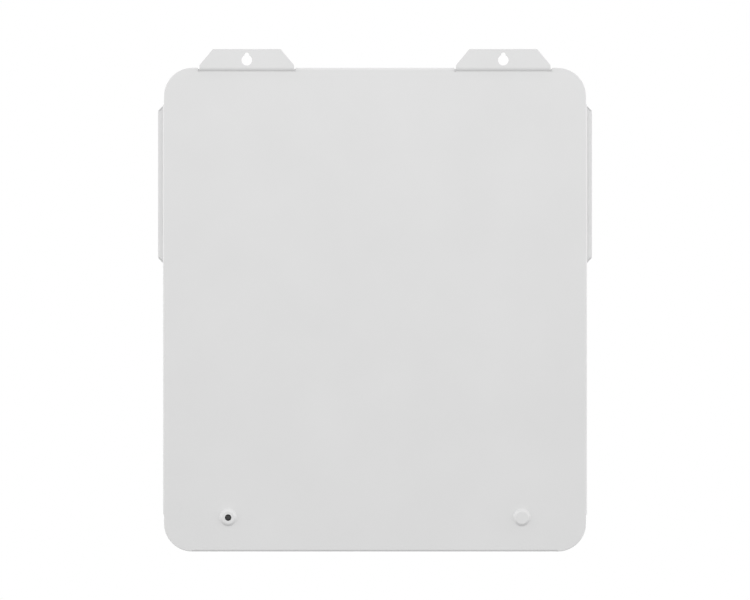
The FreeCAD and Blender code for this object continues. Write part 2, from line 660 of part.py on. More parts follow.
def grip_cup():
    """Moulded pocket that the fingers reach into, held behind the hood by its rim."""
    rim_out = HALF + HOOD_PROUD - SHEET
    tub = grip_pocket((CUP_FLOOR_X, rim_out), CUP_WALL)
    tub = round_edges(tub, CUP_FILLET + CUP_WALL, lambda p: near(p.x, CUP_FLOOR_X))
    rim = grip_pocket((rim_out - CUP_WALL, rim_out), CUP_RIM)
    hollow = grip_pocket((CUP_FLOOR_X + CUP_WALL, rim_out + 1), 0)
    hollow = round_edges(hollow, CUP_FILLET, lambda p: near(p.x, CUP_FLOOR_X + CUP_WALL))
    cup = tub.fuse(rim).cut(hollow)
    clips = []
    catch = HALF - SHEET - 1  # the clips' catching face, just inside the shell
    for z in (GRIP_Z - CLIP_OFFSET, GRIP_Z + CLIP_OFFSET):
        for s in (-1, 1):
            wall = GRIP_Y + s * (GRIP_WIDTH / 2 + CUP_WALL)
            corners = [(catch, wall - s), (catch, wall + s * CLIP_REACH), (catch - CLIP_RAMP, wall - s)]
            points = [vec(x, y, z - CLIP_WIDTH / 2) for x, y in corners + corners[:1]]
            clips.append(Part.Face(Part.makePolygon(points)).extrude(Z * CLIP_WIDTH))
    return joined([cup] + clips)


# --- cells --------------------------------------------------------------------------------------------
def cell_floor(row):
    return STACK_FLOOR + row * CELL_PITCH + (CELL_PITCH - CELL_THICK) / 2


def cell_vent(z):
    """Cutter for the shallow oval of a cell's safety vent."""
    half_y, half_z = CELL_VENT
    x = (COLUMN_IN - 1, COLUMN_IN + CELL_VENT_DEPTH)
    return side_slab(x, (STACK_Y - half_y, STACK_Y + half_y), (z - half_z, z + half_z), half_z - 0.1)


def cell(side, row):
    """One prismatic cell, lying with its terminal face towards the middle of the unit."""
    low = cell_floor(row)
    high = low + CELL_THICK
    middle = (low + high) / 2
    can = box((COLUMN_IN, COLUMN_OUT), (STACK_FRONT, STACK_REAR), (low, high))
    can = round_edges(can, CELL_FILLET, lambda p: near(abs(p.z - middle), CELL_THICK / 2))
    posts = []
    half = POST_SIZE / 2
    for y in (STACK_Y - POST_OFFSET, STACK_Y + POST_OFFSET):
        post_x = (COLUMN_IN - POST_RISE, COLUMN_IN + 1)
        posts.append(box(post_x, (y - half, y + half), (middle - half, middle + half)))
    body = joined([can] + posts).cut(cell_vent(middle))
    return body if side > 0 else mirrored(body)


def cell_column(side):
    return [cell(side, row) for row in range(CELL_ROWS)]


def busbar_links():
    """Copper links that join each column in series, and the two columns at the top."""
    links = []
    half = POST_SIZE / 2
    face = COLUMN_IN - POST_RISE
    for side in (-1, 1):
        for row in range(CELL_ROWS - 1):
            y = STACK_Y + (POST_OFFSET if row % 2 == 0 else -POST_OFFSET)
            low = cell_floor(row) + CELL_THICK / 2 - half
            high = low + CELL_PITCH + POST_SIZE
            x = (side * (face - LINK_THICK), side * face)
            links.append(side_slab(x, (y - half, y + half), (low, high), 3))
    y = STACK_Y - POST_OFFSET
    middle = cell_floor(CELL_ROWS - 1) + CELL_THICK / 2
    links.append(box((-face, face), (y - half, y + half), (middle - 4, middle + 4)))
    return links


def sense_board():
    """Insulating board between the columns, which carries the voltage taps."""
    middle = cell_floor(CELL_ROWS - 1) + CELL_THICK / 2
    board = box((-1, 1), (STACK_FRONT + 4, STACK_REAR - 4), (STACK_FLOOR + 4, STACK_TOP - 4))
    y = STACK_Y - POST_OFFSET
    return board.cut(box((-2, 2), (y - 9, y + 9), (middle - 5, middle + 5)))


def end_plates():
    """Compression plates under and over each column."""
    plates = []
    for side in (-1, 1):
        x = (side * COLUMN_IN, side * COLUMN_OUT)
        y = (STACK_FRONT, STACK_REAR)
        plates.append(floor_slab(x, y, (STACK_FLOOR - END_PLATE, STACK_FLOOR), 4))
        plates.append(floor_slab(x, y, (STACK_TOP, STACK_TOP + END_PLATE), 4))
    return plates


def compression_straps():
    """Steel bands round each column."""
    bands = []
    low, high = STACK_FLOOR - END_PLATE, STACK_TOP + END_PLATE
    for side in (-1, 1):
        for x in STRAP_PLACES:
            span = (side * x - STRAP_HALF, side * x + STRAP_HALF)
            grown = (STACK_FRONT - STRAP, STACK_REAR + STRAP)
            outer = side_slab(span, grown, (low - STRAP, high + STRAP), STRAP * 0.9)
            inner = box((span[0] - 1, span[1] + 1), (STACK_FRONT, STACK_REAR), (low, high))
            bands.append(outer.cut(inner))
    return bands


def cell_shelf():
    """Folded shelf that carries both columns."""
    wide = HALF - SHEET - 0.2
    front, rear = Y_LIP + 6, Y_IN - SHEET - 0.2
    low = SHELF_TOP - SHELF_SIDE
    path = [(-wide, low), (-wide, SHELF_TOP), (wide, SHELF_TOP), (wide, low)]
    shelf = folded(path[::-1], lambda u, v: vec(u, front, v), Y * (rear - front), SHELF_SHEET, 2.0)
    slots = []
    y = TERMINAL_PLANE
    for s in (-1, 1):
        slots.append(box((s * 4, s * 14), (y - 11, y + 11), (SHELF_TOP - 5, SHELF_TOP + 1)))
    slots.append(rod(5, vec(0, LOOM_Y, SHELF_TOP - 5), Z, 8))
    return shelf.cut(slots)


def rear_insulation():
    """Thin insulating sheet behind the cells."""
    x = (-COLUMN_OUT - 4, COLUMN_OUT + 4)
    return slab(x, (STACK_FLOOR + 2, STACK_TOP - 6), 6, (Y_IN - 2.2, Y_IN - 1.4))


def output_bar(side):
    """Copper bar from a column's lowest terminal down through the shelf, folded over at its foot."""
    inner = COLUMN_IN - POST_RISE - BAR_THICK
    half = POST_SIZE / 2
    top = cell_floor(0) + CELL_THICK / 2 + half
    path = [(inner, top), (inner, BAR_FOOT), (FUSE_X - FUSE_BOLT + 10, BAR_FOOT)]
    rear = TERMINAL_PLANE - half
    bar = folded(path, lambda u, v: vec(u, rear, v), Y * POST_SIZE, BAR_THICK, 2.0)
    bar = bar.cut(rod(4.2, vec(FUSE_X - FUSE_BOLT, TERMINAL_PLANE, BAR_FOOT - 1), Z, 5))
    return bar if side > 0 else mirrored(bar)


# --- electronics --------------------------------------------------------------------------------------
def electronics_tray():
    """Upright panel that carries the board and the breaker's rail."""
    low, high = BAY_ROOF + 8, SHELF_TOP - 12
    back = Y_IN - 0.3
    path = [(-TRAY_HALF, back), (-TRAY_HALF, TRAY_Y), (TRAY_HALF, TRAY_Y), (TRAY_HALF, back)]
    return folded(path, lambda u, v: vec(u, v, low), Z * (high - low), TRAY_SHEET, 1.5)


def board_corners():
    (x0, x1), (z0, z1) = BOARD_X, BOARD_Z
    return [(x, z) for x in (x0 + 6, x1 - 6) for z in (z0 + 6, z1 - 6)]


def board_standoffs():
    """Hexagonal pillars, each with the screw that holds the board."""
    pillars = []
    for x, z in board_corners():
        pillar = hexagon(6.0, vec(x, TRAY_FACE, z), Y * -1, TRAY_FACE - BOARD_Y)
        head = rod(3.0, vec(x, BOARD_FACE, z), Y * -1, 2.0)
        shank = rod(1.5, vec(x, BOARD_Y + 0.5, z), Y * -1, BOARD_THICK + 1)
        pillars.append(pillar.fuse([head, shank]))
    return pillars


def bms_board():
    board = slab(BOARD_X, BOARD_Z, 3, (BOARD_FACE, BOARD_Y))
    for x, z in board_corners():
        board = board.cut(rod(1.6, vec(x, BOARD_Y - 5, z), Y, 10))
    return board


def bms_mosfets():
    """Two rows of power transistors under the heat sink."""
    packages = []
    for z in MOSFET_ROWS:
        for i in range(MOSFET_COUNT):
            x = MOSFET_START + i * MOSFET_PITCH
            pieces = [box((x - 5, x + 5), (BOARD_FACE - MOSFET_RISE, BOARD_FACE), (z, z + 9))]
            for leg in (x - 2.5, x + 2.5):
                pieces.append(box((leg - 0.5, leg + 0.5), (BOARD_FACE - 1, BOARD_FACE), (z - 5, z)))
            packages.append(joined(pieces))
    return packages


def bms_heatsink():
    """Finned heat sink clamped on the transistors."""
    base = BOARD_FACE - MOSFET_RISE
    left = MOSFET_START - 11
    z = (MOSFET_ROWS[0] - 4, MOSFET_ROWS[1] + 14)
    pieces = [box((left, left + 165), (base - 5, base), z)]
    for i in range(FIN_COUNT):
        start = left + 1 + i * FIN_PITCH
        pieces.append(box((start, start + 2), (base - 26, base - 4), z))
    return joined(pieces)


def bms_connectors():
    """Headers along the board's lower edge, and the two stud blocks for the pack cables."""
    front = BOARD_FACE
    parts = []
    for x, width in HEADERS:
        half = width / 2
        shell = box((x - half, x + half), (front - 9, front), (HEADER_Z - 4.5, HEADER_Z + 4.5))
        well = box((x - half + 1, x + half - 1), (front - 10, front - 2), (HEADER_Z - 3.5, HEADER_Z + 3.5))
        parts.append(shell.cut(well))
    for x in STUD_BLOCKS:
        block = box((x - 9, x + 9), (front - 10, front), (STUD_BLOCK_Z - 9, STUD_BLOCK_Z + 9))
        parts.append(block.fuse(rod(3, vec(x, front - 9, STUD_BLOCK_Z), Y * -1, 4)))
    return parts


def din_rail():
    """Hat-section rail on two pillars."""
    lip = 5.0
    high, low = FASCIA_Z + RAIL_HALF, FASCIA_Z - RAIL_HALF
    web = RAIL_Y + RAIL_HEIGHT
    path = [(RAIL_Y, high), (RAIL_Y, high - lip), (web, high - lip)]
    path += [(web, low + lip), (RAIL_Y, low + lip), (RAIL_Y, low)]
    start = RAIL_SCREWS[0] - 12
    rail = folded(path, lambda u, v: vec(start, u, v), X * RAIL_LENGTH, 1.0, 0.5)
    for x in RAIL_SCREWS:
        rail = rail.cut(rod(3.2, vec(x, RAIL_Y, FASCIA_Z), Y, 12))
    return rail


def rail_pillars():
    """Spacers from the tray to the rail, with their screws."""
    pillars = []
    front = RAIL_Y + RAIL_HEIGHT + 1
    for x in RAIL_SCREWS:
        pillar = hexagon(10.0, vec(x, front, FASCIA_Z), Y, TRAY_FACE - front)
        screw = rod(3.0, vec(x, front - 2, FASCIA_Z), Y, 2)
        head = rod(5.0, vec(x, front - 1, FASCIA_Z), Y * -1, 3)
        pillars.append(pillar.fuse([screw, head]))
    return pillars


def breaker_body():
    """Two-pole breaker: shoulders, nose, rail foot, terminal wells and a slot for the lever."""
    half = BREAKER_WIDTH / 2
    x = (DOOR_X - half, DOOR_X + half)
    shoulder = BREAKER_SHOULDER_Y
    reach = (FASCIA_Z - BREAKER_HALF_HEIGHT, FASCIA_Z + BREAKER_HALF_HEIGHT)
    lower = box(x, (shoulder, RAIL_Y + 4), reach)
    front = box(x, (Y_NOSE, shoulder + 1), (FASCIA_Z - NOSE_HALF, FASCIA_Z + NOSE_HALF))
    front = round_edges(front, 1.5, lambda p: near(p.y, Y_NOSE))
    body = joined([lower, front])
    clear = LEVER_HALF + 1
    slot = box((DOOR_X - clear, DOOR_X + clear), (Y_NOSE - 1, Y_NOSE + 22), (FASCIA_Z - 12, FASCIA_Z + 12))
    rail_z = (FASCIA_Z - RAIL_HALF - 0.2, FASCIA_Z + RAIL_HALF + 0.2)
    groove = box((x[0] - 1, x[1] + 1), (RAIL_Y, RAIL_Y + 5), rail_z)
    seam = box((DOOR_X - 0.2, DOOR_X + 0.2), (Y_NOSE - 1, Y_NOSE + 0.6), (FASCIA_Z - 23, FASCIA_Z + 23))
    body = body.cut([slot, groove, seam])
    pin_start = vec(DOOR_X - half + PIN_INSET, LEVER_PIVOT_Y, FASCIA_Z)
    body = body.cut(rod(LEVER_PIN_RADIUS, pin_start, X, 2 * (half - PIN_INSET)))
    for pole in (-POLE_OFFSET, POLE_OFFSET):
        well_x = (DOOR_X + pole - 5, DOOR_X + pole + 5)
        for end in reach:
            inward = 18 if end == reach[0] else -18
            body = body.cut(box(well_x, (TERMINAL_Y - 6, TERMINAL_Y + 6), (end, end + inward)))
        for z in (FASCIA_Z - 32, FASCIA_Z + 32):
            body = body.cut(rod(3.2, vec(DOOR_X + pole, shoulder - 1, z), Y, 10))
    return body


def breaker_lever():
    """Joined lever of both poles, in its lower position."""
    left = DOOR_X - LEVER_HALF
    hub = rod(7.0, vec(left, LEVER_PIVOT_Y, FASCIA_Z), X, 2 * LEVER_HALF)
    corners = [(3.0, -3.4, 0), (14.2, -2.2, 1.2), (14.2, 2.2, 1.2), (3.0, 3.4, 0)]
    arm = rounded_face(corners, lambda u, v: vec(left, LEVER_PIVOT_Y - u, FASCIA_Z + v))
    lever = joined([hub, arm.extrude(X * (2 * LEVER_HALF))])
    bore = rod(LEVER_PIN_RADIUS + 0.06, vec(left - 1, LEVER_PIVOT_Y, FASCIA_Z), X, 2 * LEVER_HALF + 2)
    lever = lever.cut(bore)
    return lever.rotate(vec(DOOR_X, LEVER_PIVOT_Y, FASCIA_Z), X, LEVER_SWING / 2)


def lever_pivot_pin():
    reach = BREAKER_WIDTH / 2 - PIN_INSET
    return rod(LEVER_PIN_RADIUS, vec(DOOR_X - reach, LEVER_PIVOT_Y, FASCIA_Z), X, 2 * reach)


def main_fuse():
    """Bolted fuse with a ceramic body and two blades."""
    x, y, z = FUSE_X, TERMINAL_PLANE, FUSE_Z
    body = floor_slab((x - 20, x + 20), (y - 13, y + 13), (z - 13, z + 13), 6)
    blade = floor_slab((x - 42, x + 42), (y - 10, y + 10), (z - 2, z + 2), 4)
    fuse = joined([body, blade])
    for s in (-1, 1):
        fuse = fuse.cut(rod(4.2, vec(x + s * FUSE_BOLT, y, z - 5), Z, 10))
    return fuse


def fuse_holder():
    """Two insulating arms that carry the fuse's blades, on one base plate."""
    low = FUSE_Z - 20
    base = slab((FUSE_X - 44, FUSE_X + 44), (low, FUSE_Z - 2), 4, (TRAY_FACE - 5, TRAY_FACE))
    arms = []
    for s in (-1, 1):
        x = FUSE_X + s * FUSE_BOLT
        arm = floor_slab((x - 9, x + 9), (TERMINAL_PLANE - 10, TRAY_FACE - 4), (low, FUSE_Z - 2), 3)
        arms.append(arm.cut(rod(4.0, vec(x, TERMINAL_PLANE, FUSE_Z - 12), Z, 12)))
    return joined([base] + arms)


def fuse_bolts():
    """Bolts that clamp the bars onto the fuse, and the one on the other column's bar."""
    top = BAR_FOOT + BAR_THICK
    bolts = []
    for x, depth in ((FUSE_X - FUSE_BOLT, 12), (FUSE_X + FUSE_BOLT, 12), (FUSE_BOLT - FUSE_X, 10)):
        place = vec(x, TERMINAL_PLANE, top)
        bolts.append(hexagon(13, place, Z, 5).fuse(rod(3.9, place, Z * -1, depth)))
    return bolts


def fuse_to_breaker_bar():
    """Copper bar from the fuse's other blade into the breaker's upper terminal."""
    bolt_x = FUSE_X + FUSE_BOLT
    down_x = DOOR_X - POLE_OFFSET + BAR_THICK / 2
    path = [(bolt_x - 9, BAR_FOOT), (down_x, BAR_FOOT), (down_x, FASCIA_Z + BREAKER_HALF_HEIGHT - 15)]
    bar = folded(path, lambda u, v: vec(u, TERMINAL_Y - 4, v), Y * 8, BAR_THICK, 2.0)
    palm_y = (TERMINAL_PLANE - 8, TERMINAL_PLANE + 8)
    palm = box((bolt_x - 9, bolt_x + 8), palm_y, (BAR_FOOT, BAR_FOOT + BAR_THICK))
    return joined([bar, palm]).cut(rod(4.2, vec(bolt_x, TERMINAL_PLANE, BAR_FOOT - 1), Z, 5))


def breaker_to_socket_bar():
    """Copper bar from the breaker's lower terminal onto the positive socket's stud."""
    foot = BAY_ROOF + 20.0
    top = FASCIA_Z - BREAKER_HALF_HEIGHT + 15
    path = [(TERMINAL_Y, top), (TERMINAL_Y, foot), (BAY_Y + 9, foot)]
    bar = folded(path, lambda u, v: vec(PLUS_X - 4, u, v), X * 8, BAR_THICK, 2.0)
    palm = box((PLUS_X - 9, PLUS_X + 9), (BAY_Y - 9, BAY_Y + 9), (foot, foot + BAR_THICK))
    return joined([bar, palm]).cut(rod(4.2, vec(PLUS_X, BAY_Y, foot - 1), Z, 5))


def return_cable():
    """Cable from the other column's bar to the board's first stud."""
    top = BAR_FOOT
    route = [
        (FUSE_BOLT - FUSE_X, TERMINAL_PLANE, top - 10),
        (FUSE_BOLT - FUSE_X, TERMINAL_PLANE, top - 62),
        (-50, -100, 140),
        (STUD_BLOCKS[0], -80, STUD_BLOCK_Z),
        (STUD_BLOCKS[0], BOARD_FACE - 13, STUD_BLOCK_Z),
    ]
    return cable(route, CABLE_RADIUS)


def board_cable():
    """Cable from the board's second stud to the breaker's other pole."""
    x, y = DOOR_X + POLE_OFFSET, TERMINAL_Y
    top = FASCIA_Z + BREAKER_HALF_HEIGHT
    route = [
        (STUD_BLOCKS[1], BOARD_FACE - 13, STUD_BLOCK_Z),
        (STUD_BLOCKS[1], BOARD_FACE - 30, STUD_BLOCK_Z),
        (-10, -92, 152),
        (20, -96, 184),
        (66, -92, 191),
        (124, -91, 193),
        (x, y + 3, top + 9),
        (x, y, top - 12),
    ]
    return cable(route, CABLE_RADIUS)


def outlet_cable():
    """Cable from the breaker's other pole to the negative socket's stud."""
    low = FASCIA_Z - BREAKER_HALF_HEIGHT
    route = [
        (DOOR_X + POLE_OFFSET, TERMINAL_Y, low + 12),
        (DOOR_X + POLE_OFFSET, TERMINAL_Y, low - 10),
        (120, -117, 90),
        (96, -112, 86),
        (MINUS_X + 3, BAY_Y - 9, 82),
    ]
    return cable(route, CABLE_RADIUS)


def sense_loom():
    """Loom of the cells' voltage taps, from between the columns to the board's header, with its plug."""
    x = HEADERS[2][0]
    end = BOARD_FACE - 14
    route = [
        (0, LOOM_Y, STACK_FLOOR + 3.5),
        (0, LOOM_Y - 4, 225),
        (0, LOOM_Y - 10, 175),
        (2, LOOM_Y - 14, 128),
        (-14, LOOM_Y - 22, 96),
        (-58, LOOM_Y - 26, 84),
        (-100, LOOM_Y - 25, 86),
        (x, LOOM_Y - 20, HEADER_Z),
        (x, end, HEADER_Z),
    ]
    plug = box((x - 7.5, x + 7.5), (end, BOARD_FACE - 2.2), (HEADER_Z - 3, HEADER_Z + 3))
    return [cable(route, LOOM_RADIUS), plug]


def panel_loom():
    """Loom from the light board to the board's last header, with its plugs, and the button's pair."""
    x = HEADERS[3][0]
    end = BOARD_FACE - 14
    start = vec(WINDOW_X + WINDOW_HALF - 2, Y_FASCIA + 15.6, FASCIA_Z)
    route = [
        (start.x, start.y, start.z),
        (start.x, start.y + 14, start.z),
        (-38, -116, 112),
        (-72, -96, 92),
        (x, end - 18, HEADER_Z),
        (x, end, HEADER_Z),
    ]
    plug = box((x - 4.5, x + 4.5), (end, BOARD_FACE - 2.2), (HEADER_Z - 3, HEADER_Z + 3))
    pair = [
        (BUTTON_X, Y_FASCIA + 26.5, FASCIA_Z),
        (BUTTON_X - 4, Y_FASCIA + 38, FASCIA_Z),
        (8, Y_FASCIA + 38, FASCIA_Z),
        (start.x + 4.5, start.y + 10, start.z + 3.5),
        (start.x + 4.5, start.y, start.z + 3.5),
    ]
    return [cable(route, 1.8), plug, cable(pair, 1.2)]


# --- control fascia -----------------------------------------------------------------------------------
def breaker_pocket(grow, y):
    """Block of the pocket's outline. Its upper corners are nearly square, so that the door can swing up."""
    low, high = 4 + grow, 1 + grow
    x = (DOOR_X - DOOR_HALF_WIDTH - grow, DOOR_X + DOOR_HALF_WIDTH + grow)
    return slab(x, (DOOR_BOTTOM - grow, DOOR_TOP + grow), (low, low, high, high), y)


def fascia():
    """Moulded control panel, with a pocket in front of the breaker."""
    back = Y_FASCIA + FASCIA_PLATE
    plate = slab(
        (-FASCIA_X, FASCIA_X),
        (FASCIA_Z - FASCIA_HALF, FASCIA_Z + FASCIA_HALF),
        FASCIA_CORNER,
        (Y_FASCIA, Y_FIELD),
    )
    plate = round_edges(plate, 1.0, lambda p: near(p.y, Y_FASCIA))
    plug = slab(
        (-FASCIA_X + 4.5, FASCIA_X - 4.5),
        (FASCIA_Z - FASCIA_HALF + 4.5, FASCIA_Z + FASCIA_HALF - 4.5),
        FASCIA_CORNER - 4.5,
        (Y_FIELD, back),
    )
    floor = Y_FASCIA + 10
    pocket = breaker_pocket(2.0, (Y_FASCIA + 1, floor + 2))
    panel = joined([plate, plug, pocket]).cut(breaker_pocket(0.4, (Y_FASCIA - 1, floor)))
    half = BREAKER_WIDTH / 2 + 0.5
    nose_z = (FASCIA_Z - NOSE_HALF - 0.5, FASCIA_Z + NOSE_HALF + 0.5)
    panel = panel.cut(box((DOOR_X - half, DOOR_X + half), (floor - 1, floor + 3), nose_z))
    panel = panel.cut(rod(8.1, vec(BUTTON_X, Y_FASCIA - 1, FASCIA_Z), Y, 8))
    panel = panel.cut(status_slot(0.1, (Y_FASCIA - 1, back + 1)))
    for s in (-1, 1):
        start = DOOR_X + s * (DOOR_HALF_WIDTH - 0.5)
        panel = panel.cut(rod(HINGE_RADIUS + 0.05, vec(start, HINGE_Y, HINGE_Z), X * s, 2.6))
    return panel


def status_slot(grow, y):
    r = WINDOW_RADIUS + grow
    x = (WINDOW_X - WINDOW_HALF - grow, WINDOW_X + WINDOW_HALF + grow)
    return slab(x, (FASCIA_Z - r, FASCIA_Z + r), r - 0.01, y)


def status_window():
    """Smoked lens over the charge lights, with a step that seats behind the fascia."""
    back = Y_FASCIA + FASCIA_PLATE
    lens = status_slot(0, (Y_FASCIA - 0.3, back))
    lens = round_edges(lens, 0.25, lambda p: near(p.y, Y_FASCIA - 0.3, 0.01))
    return lens.fuse(status_slot(3, (back, back + 1.5))).removeSplitter()


def status_board():
    """Light board, with five lights for charge and one for faults."""
    face = Y_FASCIA + FASCIA_PLATE + 1.5 + 4
    x = (WINDOW_X - WINDOW_HALF - 8, WINDOW_X + WINDOW_HALF + 8)
    board = slab(x, (FASCIA_Z - 14, FASCIA_Z + 14), 2, (face, face + 1.6))
    lights = []
    for i in range(LIGHT_COUNT):
        centre = WINDOW_X + (i - (LIGHT_COUNT - 1) / 2) * LIGHT_PITCH
        light_x = (centre - 2.5, centre + 2.5)
        lights.append(box(light_x, (face - 1.6, face + 0.2), (FASCIA_Z - 2.5, FASCIA_Z + 2.5)))
    plug = box((x[1] - 16, x[1] - 4), (face + 1.4, face + 7), (FASCIA_Z - 6, FASCIA_Z + 6))
    return joined([board] + lights + [plug])


def button_housing():
    """Threaded barrel of the power button, with its bezel ring, nut and switch terminals."""
    front = Y_FASCIA
    rim = front - BEZEL_RISE
    bezel = rod(10.5, vec(BUTTON_X, rim, FASCIA_Z), Y, BEZEL_RISE)
    bezel = round_edges(bezel, BEZEL_RISE / 2, lambda p: near(p.y, rim, 0.01))
    barrel = rod(7.9, vec(BUTTON_X, front - 0.5, FASCIA_Z), Y, 20)
    nut = hexagon(19.0, vec(BUTTON_X, front + FASCIA_PLATE, FASCIA_Z), Y, 4)
    pieces = [bezel, barrel, nut]
    for x in (BUTTON_X - 4, BUTTON_X + 4):
        pieces.append(box((x - 0.5, x + 0.5), (front + 19, front + 26), (FASCIA_Z - 1.5, FASCIA_Z + 1.5)))
    well = rod(BUTTON_RADIUS + 0.15, vec(BUTTON_X, front - 3, FASCIA_Z), Y, 13)
    return joined(pieces).cut(well)


def power_button():
    """Cap of the power button, standing a little proud, with a ring groove."""
    front = Y_FASCIA - BEZEL_RISE - 0.6
    cap = rod(BUTTON_RADIUS, vec(BUTTON_X, front, FASCIA_Z), Y, 9)
    cap = round_edges(cap, 0.5, lambda p: near(p.y, front, 0.01))
    groove = rod(4.6, vec(BUTTON_X, front - 1, FASCIA_Z), Y, 1.3)
    core = rod(3.8, vec(BUTTON_X, front - 2, FASCIA_Z), Y, 3)
    return cap.cut(groove.cut(core))


def button_dome():
    """Snap dome under the button's cap."""
    seat = Y_FASCIA + 10
    dome = Part.makeCone(5.5, 2.0, 1.2, vec(BUTTON_X, seat, FASCIA_Z), Y * -1)
    hollow = Part.makeCone(5.1, 1.6, 1.0, vec(BUTTON_X, seat, FASCIA_Z), Y * -1)
    return dome.cut(hollow)


def breaker_door():
    """Clear door with a rolled upper edge round the hinge pin, and a finger lip along its lower edge."""
    inset = 0.4
    half = DOOR_HALF_WIDTH - inset
    x = (DOOR_X - half, DOOR_X + half)
    leaf = slab(x, (DOOR_BOTTOM + inset, HINGE_Z), (4, 4, 0, 0), (Y_FASCIA, Y_FASCIA + DOOR_THICK))
    roll = rod(KNUCKLE_RADIUS, vec(x[0], HINGE_Y, HINGE_Z), X, 2 * half)
    lip = box((DOOR_X - 12, DOOR_X + 12), (Y_FASCIA - 3, Y_FASCIA + 1), (DOOR_BOTTOM + 2, DOOR_BOTTOM + 5))
    lip = round_edges(lip, 1.2, lambda p: near(p.y, Y_FASCIA - 3))
    door = joined([leaf, roll, lip])
    return door.cut(rod(HINGE_RADIUS + 0.08, vec(x[0] - 1, HINGE_Y, HINGE_Z), X, 2 * half + 2))


def door_hinge_pin():
    reach = DOOR_HALF_WIDTH + 1.8
    return rod(HINGE_RADIUS, vec(DOOR_X - reach, HINGE_Y, HINGE_Z), X, 2 * reach)


# --- cable bay ----------------------------------------------------------------------------------------
def socket_screw_places(x):
    """The four screws of the socket at this x, as (x, y)."""
    return [(x + dx, BAY_Y + dy) for dx in (-14, 14) for dy in (-14, 14)]


def power_socket(x):
    """Sealed single-pole socket that faces down into the bay, with its stud above the roof."""
    low = BAY_ROOF
    flange = floor_slab((x - 18, x + 18), (BAY_Y - 18, BAY_Y + 18), (low - 4, low), 4)
    barrel = rod(15.5, vec(x, BAY_Y, low - 28), Z, 25)
    barrel = round_edges(barrel, 1.0, lambda p: near(p.z, low - 28))
    insulator = rod(13, vec(x, BAY_Y, low - 1), Z, 13)
    stud = rod(4, vec(x, BAY_Y, low + 10), Z, STUD_TOP - 10)
    body = joined([flange, barrel, insulator, stud])
    body = body.cut(rod(SOCKET_BORE, vec(x, BAY_Y, low - 29), Z, 24))
    contact = rod(CONTACT_RADIUS, vec(x, BAY_Y, low - 24), Z, 20)
    for sx, sy in socket_screw_places(x):
        body = body.cut(rod(SOCKET_SCREW_HOLE, vec(sx, sy, low - 5), Z, 6))
    key = box((x - 1.5, x + 1.5), (BAY_Y + 13.5, BAY_Y + 16.5), (low - 26, low - 5))
    return joined([body, contact, key])


def socket_screws():
    places = socket_screw_places(PLUS_X) + socket_screw_places(MINUS_X)
    return [button_screw(1.5, 10.0, 2.6, 1.6, vec(x, y, BAY_ROOF - 4), Z) for x, y in places]


def port_places():
    return [PORTS_X + (i - 1.5) * 18 for i in range(4)]


def comm_ports():
    """Block of four data sockets, open downwards."""
    low = BAY_ROOF
    flange = floor_slab((PORTS_X - 46, PORTS_X + 46), (BAY_Y - 16, BAY_Y + 16), (low - 3, low), 4)
    block = floor_slab((PORTS_X - 38, PORTS_X + 38), (BAY_Y - 9, BAY_Y + 9), (low - 12, low + 12), 2)
    body = joined([flange, block])
    for x in port_places():
        body = body.cut(box((x - 6, x + 6), (BAY_Y - 4, BAY_Y + 4.5), (low - 13, low + 6)))
        body = body.cut(box((x - 3, x + 3), (BAY_Y - 6, BAY_Y - 3), (low - 13, low + 4)))
    for s in (-1, 1):
        body = body.cut(rod(1.7, vec(PORTS_X + s * 42, BAY_Y, low - 5), Z, 7))
    return body


def pressure_vent():
    """Screw-in breather with a slotted cap."""
    low = BAY_ROOF
    cap = rod(9, vec(VENT_X, BAY_Y, low - 7), Z, 7)
    cap = round_edges(cap, 1.5, lambda p: near(p.z, low - 7))
    stem = rod(5.9, vec(VENT_X, BAY_Y, low - 1), Z, 10)
    nut = hexagon(16, vec(VENT_X, BAY_Y, low + SHEET), Z, 4)
    vent = joined([cap, stem, nut]).cut(rod(2.5, vec(VENT_X, BAY_Y, low - 3), Z, 14))
    for i in range(3):
        slot = box((VENT_X - 10, VENT_X + 10), (BAY_Y - 0.8, BAY_Y + 0.8), (low - 4.2, low - 2.2))
        slot.rotate(vec(VENT_X, BAY_Y, 0), Z, 60 * i)
        vent = vent.cut(slot)
    return vent


def earth_stud():
    """Stud through the bay roof, with its head and washer above and two nuts below."""
    low = BAY_ROOF
    place = vec(EARTH_X, BAY_Y, low - 22)
    bolt = rod(3.0, place, Z, 26)
    bolt = round_edges(bolt, 0.6, lambda p: near(p.z, low - 22))
    head = hexagon(10, vec(EARTH_X, BAY_Y, low + SHEET), Z, 4)
    nut = hexagon(10, vec(EARTH_X, BAY_Y, low - 5), Z, 5)
    washer = rod(6.2, vec(EARTH_X, BAY_Y, low - 6.4), Z, 1.4)
    return joined([bolt, head, nut, washer])


def cable_tie_bar():
    """Slotted bar across the bay that cables are tied to."""
    y = (Y_LIP + 30, Y_LIP + 42)
    low = SHELL_LOW + SHEET
    path = [(-214, low), (-200, low), (-200, low + 11), (200, low + 11), (200, low), (214, low)]
    bar = folded(path, lambda u, v: vec(u, y[0], v), Y * (y[1] - y[0]), 2.0, 2.0)
    middle = (y[0] + y[1]) / 2
    for i in range(9):
        x = -160 + i * 40
        bar = bar.cut(floor_slab((x - 7, x + 7), (middle - 2, middle + 2), (low + 5, low + 20), 1.9))
    return bar


